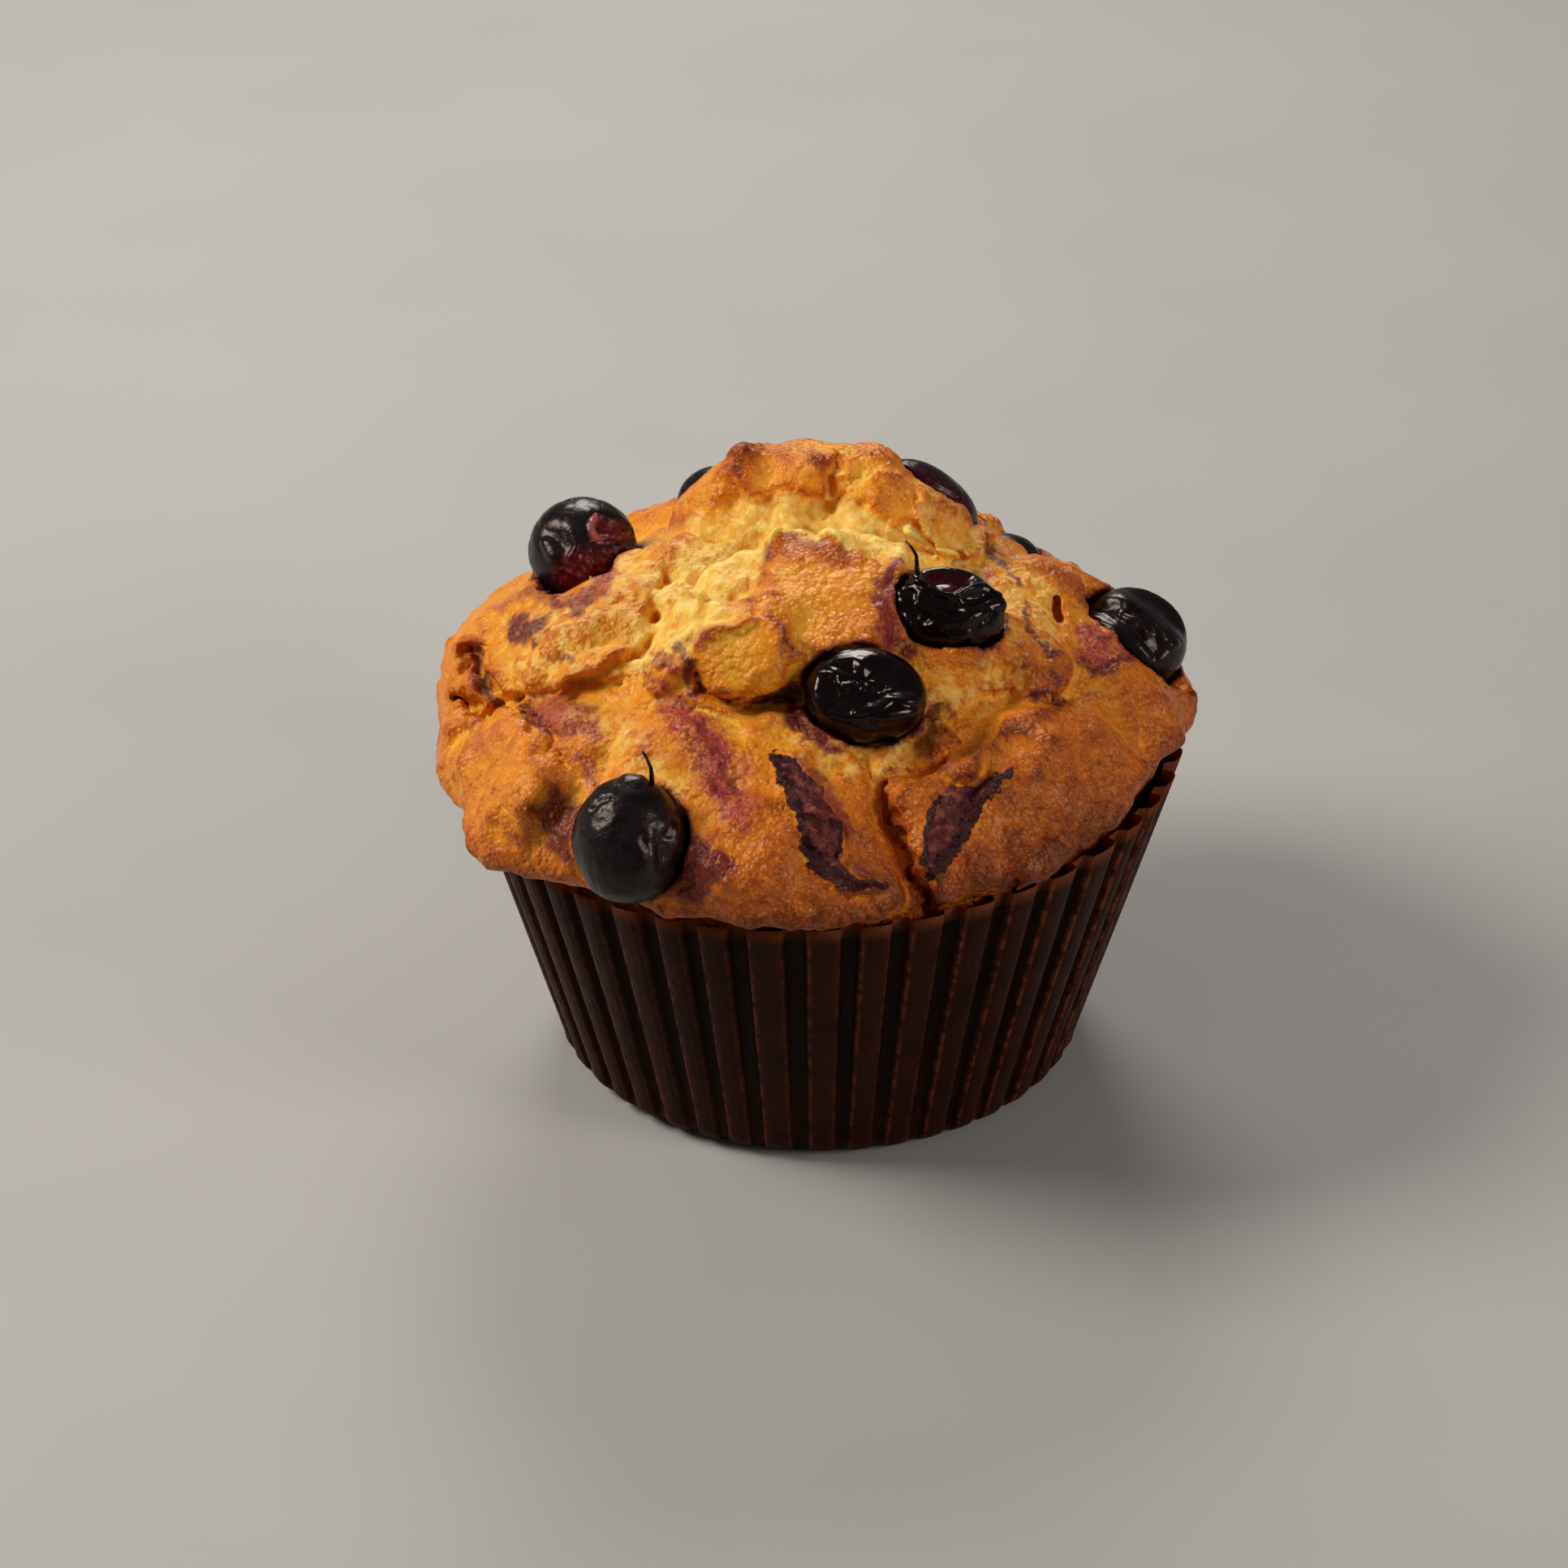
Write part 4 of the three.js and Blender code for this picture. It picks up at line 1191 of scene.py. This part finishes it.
def burst_skins(points, across, down, wander):
    """Where burst skins lie on the crust, and where their rims run."""
    skin = np.zeros(len(points))
    for outline in SKINS.values():
        share = inside_outline(outline, across + 0.6 * wander[0], down + 0.6 * wander[1], 3)
        skin = np.maximum(skin, share)
    rim = np.zeros(len(points))
    for path in SKIN_RIMS.values():
        share = stroke(path, across + 0.5 * wander[0], down + 0.5 * wander[1], 0, 0.8)
        rim = np.maximum(rim, share)
    return skin, rim


def build_cake(radius_map):
    points, faces = largest_part(*cake_mesh(radius_map))
    points, faces, base = closed_below(points, faces)
    obj = make_object("muffin_cake", points, faces, [base])
    ragged = 0.28 * noise_at(points, 1.1, 1) + 0.3 * noise_at(points, 2.7, 2)
    ragged = ragged + 0.12 * noise_at(points, 0.6, 3)
    normals = vertex_normals(obj)
    facing = smoothstep(-0.1, 0.15, normals @ CAMERA_BACK)
    front = in_front(points)
    toast = browning(points, faces, normals, facing, ragged, radius_map)
    wander = [7 * noise_at(points, 1.4, 6 + i) + 5 * noise_at(points, 0.7, 9 + i) for i in range(2)]
    across, down = pixels(points)
    crust, crust_edge = patch_shares(across + 0.5 * wander[0], down + 0.5 * wander[1])
    toast += TOAST_EDGE * crust_edge * facing * front
    juice = np.zeros(len(points))
    for berry in BERRIES.values():
        outside = distance_to_berry(berry, points) + 1.1 * ragged
        juice = np.maximum(juice, np.exp(-np.maximum(outside, 0) / JUICE_REACH))
    pink, dark = stained(points, *wander)
    skin, rim = burst_skins(points, across, down, wander)
    # Painted shade: how far each point bulges out of its hollow, which colours the crumb darker orange in
    # hollows and paler on tops
    crest_and_hollow_shade = 0.5 + 0.9 * bulging(points, faces, normals, 10)
    store(obj, "torn", painted(TORN.values(), points, ragged, 0.35) * facing * (1 - crust))
    store(obj, "half_torn", painted(HALF_TORN.values(), points, ragged, 0.6) * facing)
    store(obj, "toast", toast)
    store(obj, "pink", pink * facing)
    store(obj, "dark", dark * facing)
    store(obj, "skin", skin * (front * facing))
    store(obj, "skin_rim", rim * (front * facing))
    store(obj, "crest_and_hollow_shade", np.clip(crest_and_hollow_shade, 0, 1))
    store(obj, "juice", juice)
    thinned(obj, CAKE_TRIANGLES)
    return obj


class Graph:
    """A material's node tree, with short calls for the nodes used here."""

    def __init__(self, name):
        self.material = bpy.data.materials.new(name)
        self.material.use_nodes = True
        self.tree = self.material.node_tree
        self.shader = self.tree.nodes["Principled BSDF"]
        geometry = self.tree.nodes.new("ShaderNodeTexCoord")
        self.place = self.vector("SCALE", geometry.outputs["Object"], scale=1 / MM)

    def plug(self, socket, value):
        if isinstance(value, bpy.types.NodeSocket):
            self.tree.links.new(value, socket)
        else:
            socket.default_value = value

    def vector(self, operation, a, b=None, scale=None):
        node = self.tree.nodes.new("ShaderNodeVectorMath")
        node.operation = operation
        self.plug(node.inputs[0], a)
        if b is not None:
            self.plug(node.inputs[1], b)
        if scale is not None:
            self.plug(node.inputs["Scale"], scale)
        return node.outputs[0]

    def math(self, operation, a, b):
        node = self.tree.nodes.new("ShaderNodeMath")
        node.operation = operation
        self.plug(node.inputs[0], a)
        self.plug(node.inputs[1], b)
        return node.outputs[0]

    def noise(self, size, detail=3.0, roughness=0.55, shift=0.0, stretch=None):
        """Noise from 0 to 1 whose largest features are about this size in millimetres."""
        node = self.tree.nodes.new("ShaderNodeTexNoise")
        place = self.vector("ADD", self.place, (shift, 2 * shift, 3 * shift))
        if stretch:
            place = self.vector("MULTIPLY", place, stretch)
        self.plug(node.inputs["Vector"], place)
        self.plug(node.inputs["Scale"], 1 / size)
        self.plug(node.inputs["Detail"], detail)
        self.plug(node.inputs["Roughness"], roughness)
        return node.outputs["Fac"]

    def cells(self, size, shift):
        """Distance to the middle of the nearest of many cells of some size in millimetres."""
        node = self.tree.nodes.new("ShaderNodeTexVoronoi")
        self.plug(node.inputs["Vector"], self.vector("ADD", self.place, (shift, shift, shift)))
        self.plug(node.inputs["Scale"], 1 / size)
        return node.outputs["Distance"]

    def attribute(self, name):
        node = self.tree.nodes.new("ShaderNodeAttribute")
        node.attribute_name = name
        return node.outputs["Fac"]

    def range(self, value, low, high, to_low=0.0, to_high=1.0):
        node = self.tree.nodes.new("ShaderNodeMapRange")
        node.interpolation_type = "SMOOTHSTEP"
        for socket, number in zip(node.inputs, (value, low, high, to_low, to_high)):
            self.plug(socket, number)
        return node.outputs["Result"]

    def ramp(self, value, stops):
        node = self.tree.nodes.new("ShaderNodeValToRGB")
        elements = node.color_ramp.elements
        while len(elements) < len(stops):
            elements.new(1.0)
        for element, (position, colour) in zip(elements, stops):
            element.position = position
            element.color = linear(colour)
        self.plug(node.inputs[0], value)
        return node.outputs["Color"]

    def mix(self, share, a, b):
        """A colour between two others, which are outputs of nodes or screen colours."""
        node = self.tree.nodes.new("ShaderNodeMix")
        node.data_type = "RGBA"
        self.plug(node.inputs[0], share)
        for socket, colour in zip(node.inputs[6:8], (a, b)):
            self.plug(socket, linear(colour) if isinstance(colour, tuple) else colour)
        return node.outputs[2]

    def blend(self, share, a, b):
        """A number between two others."""
        node = self.tree.nodes.new("ShaderNodeMix")
        self.plug(node.inputs[0], share)
        self.plug(node.inputs[2], a)
        self.plug(node.inputs[3], b)
        return node.outputs[0]

    def bump(self, height, distance, strength=1.0, after=None):
        node = self.tree.nodes.new("ShaderNodeBump")
        self.plug(node.inputs["Height"], height)
        if isinstance(distance, bpy.types.NodeSocket):
            distance = self.math("MULTIPLY", distance, MM)
        else:
            distance = distance * MM
        self.plug(node.inputs["Distance"], distance)
        self.plug(node.inputs["Strength"], strength)
        if after is not None:
            self.plug(node.inputs["Normal"], after)
        return node.outputs["Normal"]

    def set(self, **values):
        for name, value in values.items():
            self.plug(self.shader.inputs[name.replace("_", " ")], value)


def linear(colour):
    """A screen colour, 0 to 255, as the linear colour that Blender uses."""
    share = np.array(colour, float) / 255
    value = np.where(share <= 0.04045, share / 12.92, ((share + 0.055) / 1.055) ** 2.4)
    return (*value.tolist(), 1.0)


def crust_material():
    g = Graph("muffin_crust")
    toast = g.attribute("toast")
    grain = g.range(g.cells(0.5, 12), 0.75, 0.1)
    grain_large = g.range(g.cells(0.95, 8), 0.75, 0.1)
    fine = g.noise(0.3, 3, 0.6, 5)
    shade = g.math("ADD", toast, g.range(g.noise(1.1, 4, 0.6), 0.3, 0.7, -0.06, 0.06))
    shade = g.math("ADD", shade, g.range(fine, 0.3, 0.7, -0.08, 0.08))
    # Painted highlight: the tops of the grains are coloured paler, as if lit from above
    shade = g.math("SUBTRACT", shade, g.math("MULTIPLY", grain, 0.06))
    crust = g.ramp(shade, CRUST_COLOURS)
    # Painted shade: the crumb is coloured darker orange in its hollows and paler on its tops, blended with
    # noise
    soft = g.blend(0.55, g.range(g.noise(0.9, 4, 0.6, 9), 0.3, 0.7), g.attribute("crest_and_hollow_shade"))
    crumb = g.ramp(soft, CRUMB_COLOURS)
    half = g.math("MULTIPLY", g.attribute("half_torn"), g.range(g.noise(1.6, 3, 0.6, 3), 0.4, 0.6))
    torn = g.math("MAXIMUM", g.attribute("torn"), g.math("MULTIPLY", half, 0.75))
    colour = g.mix(torn, crust, crumb)
    freckle = g.noise(0.55, 4, 0.65, 21)
    blotch = g.noise(1.5, 3, 0.6, 27)
    pink = g.math("MULTIPLY", g.attribute("pink"), g.range(blotch, 0.36, 0.6, 0.4, 0.9))
    colour = g.mix(pink, colour, PINK_JUICE)
    freckled = g.math("MULTIPLY", g.attribute("pink"), g.range(freckle, 0.52, 0.62, 0.0, 0.7))
    colour = g.mix(freckled, colour, PINK_FRECKLE)
    dark = g.math("MULTIPLY", g.attribute("dark"), g.range(freckle, 0.3, 0.5, 0.55, 1.0))
    colour = g.mix(dark, colour, DARK_JUICE)
    juice = g.range(g.attribute("juice"), 0.15, 0.9)
    colour = g.mix(juice, colour, BERRY_JUICE)
    skin = g.range(g.attribute("skin"), 0.35, 0.6)
    flesh = g.ramp(g.noise(1.2, 4, 0.6, 31), BURST_SKIN_COLOURS)
    colour = g.mix(skin, colour, flesh)
    broken = g.math("ADD", g.attribute("skin_rim"), g.range(g.noise(0.7, 3, 0.6, 33), 0.35, 0.65, -0.3, 0.3))
    rim = g.range(broken, 0.35, 0.6)
    colour = g.mix(rim, colour, BURST_RIM)
    skin = g.math("MAXIMUM", skin, rim)
    rough = g.range(g.noise(2.2, 3, 0.6, 14), 0.35, 0.65, 0.27, 0.42)
    rough = g.blend(torn, rough, 0.5)
    rough = g.blend(g.math("MAXIMUM", skin, g.math("MULTIPLY", juice, 0.8)), rough, 0.26)
    height = g.math("ADD", g.math("MULTIPLY", grain, 0.55), g.math("MULTIPLY", grain_large, 0.9))
    height = g.math("ADD", height, g.math("MULTIPLY", fine, 0.7))
    height = g.math("MULTIPLY", height, g.range(g.noise(3.2, 2, 0.5, 43), 0.3, 0.65, 0.4, 1.0))
    normal = g.bump(height, g.blend(torn, 0.2, 0.14), 1.0)
    creased = g.math("MULTIPLY", g.noise(0.8, 4, 0.7, 47), skin)
    normal = g.bump(creased, 0.5, 1.0, normal)
    g.set(Base_Color=colour, Roughness=rough, Normal=normal)
    g.set(Subsurface_Weight=g.blend(torn, 0.2, 0.6), Subsurface_Radius=(1.0, 0.5, 0.18))
    g.set(Subsurface_Scale=g.blend(torn, 0.0012, 0.0026))
    g.set(Specular_IOR_Level=0.42, Specular_Tint=linear(CRUST_SHINE))
    return g.material


def berry_material():
    g = Graph("berry_skin")
    patch = g.noise(2.6, 4, 0.6)
    fine = g.noise(0.5, 4, 0.65, 7)
    skin = g.ramp(patch, BERRY_COLOURS)
    flesh = g.ramp(fine, FLESH_COLOURS)
    colour = g.mix(g.attribute("flesh"), skin, flesh)
    colour = g.mix(g.attribute("torn_edge"), colour, TORN_EDGE)
    dust = g.math("MULTIPLY", g.attribute("bloom"), g.range(g.noise(1.8, 4, 0.6, 17), 0.35, 0.65))
    colour = g.mix(g.math("MULTIPLY", dust, 0.35), colour, BERRY_DUST)
    rough = g.math("ADD", g.range(fine, 0.3, 0.7, 0.13, 0.22), g.math("MULTIPLY", g.attribute("bloom"), 0.24))
    normal = g.bump(g.noise(0.9, 3, 0.55, 25), 0.08, 0.5)
    normal = g.bump(g.math("MULTIPLY", g.noise(0.28, 2, 0.5, 29), dust), 0.12, 0.8, normal)
    g.set(Base_Color=colour, Roughness=rough, Normal=normal)
    g.set(Specular_IOR_Level=0.3, Specular_Tint=linear(BERRY_SHINE))
    return g.material


def paper_material():
    g = Graph("case_paper")
    fibre = g.noise(0.5, 4, 0.6, 2, stretch=(1, 1, 0.25))
    blot = g.noise(5, 3, 0.5, 8)
    column = g.ramp(blot, PAPER_COLOURS)
    # Painted shade: the valleys between the pleats are coloured near black, the columns brown
    base = g.mix(g.attribute("out_of_valley_shade"), PAPER_VALLEY_SHADE, column)
    mottled = g.range(g.noise(1.4, 3, 0.6, 21, stretch=(1, 1, 0.5)), 0.4, 0.65, 0.1, 0.75)
    # Painted reflection of the floor: mottled lighter paper towards the base
    base = g.mix(g.math("MULTIPLY", mottled, g.attribute("low")), base, PAPER_LOW_REFLECTION)
    # Painted highlight: broken lighter lines on the shoulders of the pleats
    broken = g.math("MULTIPLY", g.attribute("fold"), g.range(g.noise(1.2, 4, 0.6, 12), 0.4, 0.6, 0.1, 1.0))
    colour = g.mix(g.range(fibre, 0.35, 0.75, 0.0, 0.35), base, PAPER_FIBRE)
    colour = g.mix(broken, colour, PAPER_FOLD_HIGHLIGHT)
    # Painted light: the paper's top edge coloured lighter, where light shines through it
    colour = g.mix(g.attribute("rim"), colour, PAPER_RIM_LIGHT)
    rough = g.range(fibre, 0.3, 0.7, 0.42, 0.58)
    g.set(Base_Color=colour, Roughness=rough, Normal=g.bump(g.math("ADD", fibre, blot), 0.16, 0.8))
    g.set(Specular_IOR_Level=0.1, Specular_Tint=linear(PAPER_SHINE))
    return g.material


def floor_material():
    g = Graph("pale_floor")
    g.set(Base_Color=g.ramp(g.noise(60, 2), FLOOR_COLOURS), Roughness=0.75)
    return g.material


def wrinkles(directions, size, seed):
    """Sharp valleys between soft folds, from 0 to 1."""
    return 1 - np.abs(noise_at(directions, size, seed))


def berry_marks(name, right, up, front, grain):
    """Relief, flesh and torn edges that a berry's marks give, where the camera sees them."""
    height = np.zeros(len(right))
    flesh = np.zeros(len(right))
    torn_edge = np.zeros(len(right))
    for kind, amount, edge, shape in MARKS.get(name, ()):
        share = shape_share(shape, right, up, edge, edge) * front
        if kind == "relief":
            height += amount * share
        elif kind == "wrinkle":
            height += amount * share * grain
        elif kind == "flesh":
            flesh = np.maximum(flesh, amount * share)
        else:
            torn_edge = np.maximum(torn_edge, amount * share)
    return height, flesh, torn_edge


def build_berry(name, berry, finish):
    """A berry with broad folds and fine wrinkles, and its marks on the side that the camera sees."""
    at, size, turn = berry
    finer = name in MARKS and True
    bpy.ops.mesh.primitive_ico_sphere_add(subdivisions=6 if finer else 5, radius=1)
    obj = bpy.context.object
    obj.name = name + "_skin"
    count = len(obj.data.vertices)
    local = np.zeros(count * 3, np.float32)
    obj.data.vertices.foreach_get("co", local)
    local = local.reshape(-1, 3).astype(float)
    world = local @ turned(turn).T
    seed = 1 + list(BERRIES).index(name)
    swell = 0.96 + 0.02 * noise_at(world, 0.8, seed)
    swell = swell - 0.014 * wrinkles(world, 0.5, seed + 20) ** 6
    swell = swell - 0.006 * wrinkles(world, 0.24, seed + 40) ** 4
    outward = (local * np.array(size)) @ turned(turn).T
    right = outward @ CAMERA_RIGHT
    up = outward @ CAMERA_UP
    right = right / right.max() + 0.04 * noise_at(world, 0.3, seed + 50)
    up = up / up.max() + 0.04 * noise_at(world, 0.3, seed + 51)
    front = smoothstep(-0.1, 0.25, outward @ CAMERA_BACK / np.max(size))
    grain = noise_at(world, 0.16, seed + 60) + 0.6 * noise_at(world, 0.08, seed + 61)
    height, flesh, torn_edge = berry_marks(name, right, up, front, grain)
    points = outward * (swell + height)[:, None] + np.array(at)
    obj.data.vertices.foreach_set("co", (points * MM).astype(np.float32).ravel())
    obj.data.shade_smooth()
    obj.data.update()
    store(obj, "flesh", flesh)
    store(obj, "torn_edge", torn_edge)
    store(obj, "bloom", np.full(count, BLOOM.get(name, USUAL_BLOOM)))
    obj.data.materials.append(finish)
    return obj


def ring_faces(count, rings):
    """The faces between rings of as many points that follow each other, and the two that close the ends."""
    start = np.arange(count)
    after = np.roll(start, -1)
    last = count * (rings - 1)
    faces = [np.stack([low + start, low + after, low + after + count, low + start + count], 1)
             for low in range(0, last, count)]
    return np.concatenate(faces), [start[::-1], last + start]


def build_thread(name, offsets, finish):
    """A dry thread of stem: a thin tapering tube through points set out from the berry's middle."""
    path = np.array(BERRIES[name][0]) + np.array(offsets) @ np.array([CAMERA_RIGHT, CAMERA_UP, CAMERA_BACK])
    turn = np.linspace(0, 2 * np.pi, THREAD_SIDES, endpoint=False)[:, None]
    rings = []
    for step, middle in enumerate(path):
        along = path[min(step + 1, len(path) - 1)] - path[max(step - 1, 0)]
        along /= np.linalg.norm(along)
        side = np.cross(along, CAMERA_BACK)
        side /= np.linalg.norm(side)
        over = np.cross(side, along)
        thick = THREAD_RADIUS * lerp(*THREAD_TAPER, step / (len(path) - 1))
        rings.append(middle + thick * (np.cos(turn) * side + np.sin(turn) * over))
    faces, ends = ring_faces(THREAD_SIDES, len(path))
    obj = make_object(name + "_stem", np.concatenate(rings), faces, ends)
    obj.data.materials.append(finish)
    return obj


def case_columns(azimuth):
    """How near each place is to the top of a fold, from 0 to 1, and whether it is on its left side."""
    uneven = 0.22 * np.sin(3 * azimuth + 1) + 0.18 * np.sin(7 * azimuth + 2) + 0.15 * np.sin(13 * azimuth)
    phase = azimuth * FLUTES / 2 + uneven
    return np.abs(np.cos(phase)), np.sin(2 * phase) < 0


def case_rings(column, top):
    """Radius and height of the rings of points of the case: up its outside, and down its inside."""
    crease = 1 - 0.62 * smoothstep(0.4, 0.62, column) - 0.38 * smoothstep(0.5, 1, column)
    crease -= 0.14 * np.exp(-(((column - 0.64) / 0.07) ** 2))
    rings = []
    for paper in (0, PAPER):
        wall = []
        for step in range(CORNER_STEPS):
            angle = np.radians(90 * step / CORNER_STEPS)
            inset = CORNER * (1 - np.sin(angle))
            lift = CORNER * (1 - np.cos(angle))
            depth = lerp(0.0, FLUTE_DEPTH_LOW, np.sin(angle))
            radius = BASE_RADIUS - inset - depth * crease - (FLUTE_DEPTH_LOW - depth)
            wall.append((radius - paper, np.full(len(column), lift + paper)))
        for row in range(CASE_ROWS + 1):
            z = lerp(CORNER, top, row / CASE_ROWS)
            wall.append((wall_radius(z) - flute_depth(z) * crease - paper, z))
        rings += wall[::-1] if paper else wall
    return rings


def build_case():
    """The pleated case: a thin wall with rounded flutes and narrow creases, and its flat base."""
    azimuth = np.linspace(-np.pi, np.pi, FLUTES * CASE_STEPS, endpoint=False)
    column, left_side = case_columns(azimuth)
    which = np.round(azimuth * FLUTES / (2 * np.pi))
    tongue = 0.5 * (column - 0.6) + 0.3 * noise(which * 0.7, 0.5, 0.5)
    top = rim_height(azimuth) + tongue
    rings = case_rings(column, top)
    points = np.concatenate([np.stack([r * np.cos(azimuth), r * np.sin(azimuth), z], 1) for r, z in rings])
    faces, ends = ring_faces(len(azimuth), len(rings))
    obj = make_object("paper_case_pleats", points, faces, ends)
    # Painted highlight: lines on the shoulders of the pleats, strongest on the left sides, which turn to the
    # key light
    fold = np.exp(-(((column - 0.66) / 0.08) ** 2)) * np.where(left_side, 1.0, 0.3)
    below_rim = np.concatenate([top - z for _, z in rings])
    store(obj, "fold", np.tile(fold, len(rings)))
    # Painted shade: 0 in the valleys between the pleats, which are coloured near black, and 1 on the columns
    store(obj, "out_of_valley_shade", np.tile(smoothstep(0.42, 0.75, column), len(rings)))
    # Painted reflection of the floor: 1 at the paper's base, fading out by 16 mm up
    store(obj, "low", smoothstep(16, 2, points[:, 2]))
    # Painted light: 1 along the top edge of the paper, where it is coloured lighter
    store(obj, "rim", smoothstep(0.5, 0.1, below_rim))
    obj.data.materials.append(paper_material())
    return obj


def build_floor():
    bpy.ops.mesh.primitive_plane_add(size=6)
    floor = bpy.context.object
    floor.name = "floor"
    floor.data.materials.append(floor_material())


def add_light(name, place, size, power, colour):
    data = bpy.data.lights.new(name, "AREA")
    data.shape = "DISK"
    data.size = size * MM
    data.energy = power
    data.color = colour
    light = bpy.data.objects.new(name, data)
    bpy.context.scene.collection.objects.link(light)
    look_from(light, np.array(place, float), LIGHTS_TARGET)


def look_from(obj, place, target):
    """Puts an object at a place and turns its -Z axis to a target, both in millimetres."""
    obj.location = (place * MM).tolist()
    obj.rotation_euler = Vector(target - place).to_track_quat("-Z", "Y").to_euler()


def add_lights():
    for name, light in LIGHTS.items():
        add_light(name, *light)
    world = bpy.data.worlds.new("studio")
    world.use_nodes = True
    tree = world.node_tree
    seen = tree.nodes.new("ShaderNodeLightPath")
    strength = tree.nodes.new("ShaderNodeMapRange")
    tree.links.new(seen.outputs["Is Camera Ray"], strength.inputs["Value"])
    strength.inputs["To Min"].default_value = STUDIO_LIGHT
    strength.inputs["To Max"].default_value = STUDIO_SEEN
    background = tree.nodes["Background"]
    background.inputs["Color"].default_value = STUDIO_COLOUR
    tree.links.new(strength.outputs["Result"], background.inputs["Strength"])
    bpy.context.scene.world = world


def add_camera():
    data = bpy.data.cameras.new("camera")
    data.lens = LENS
    data.sensor_width = SENSOR
    camera = bpy.data.objects.new("camera", data)
    bpy.context.scene.collection.objects.link(camera)
    look_from(camera, CAMERA_PLACE, CAMERA_TARGET)
    bpy.context.scene.camera = camera


def main():
    bpy.context.scene.view_settings.view_transform = "Standard"
    add_camera()
    add_lights()
    build_floor()
    radius_map = make_map()
    cake = build_cake(radius_map)
    cake.data.materials.append(crust_material())
    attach(cake, "root")
    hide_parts("muffin")
    case = build_case()
    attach(case, "root")
    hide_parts("paper_case")
    finish = berry_material()
    for name, berry in BERRIES.items():
        skin = build_berry(name, berry, finish)
        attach(skin, "root")
        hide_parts(name)
    for name, offsets in THREADS.items():
        thread = build_thread(name, offsets, finish)
        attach(thread, "root")
        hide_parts(name)


main()
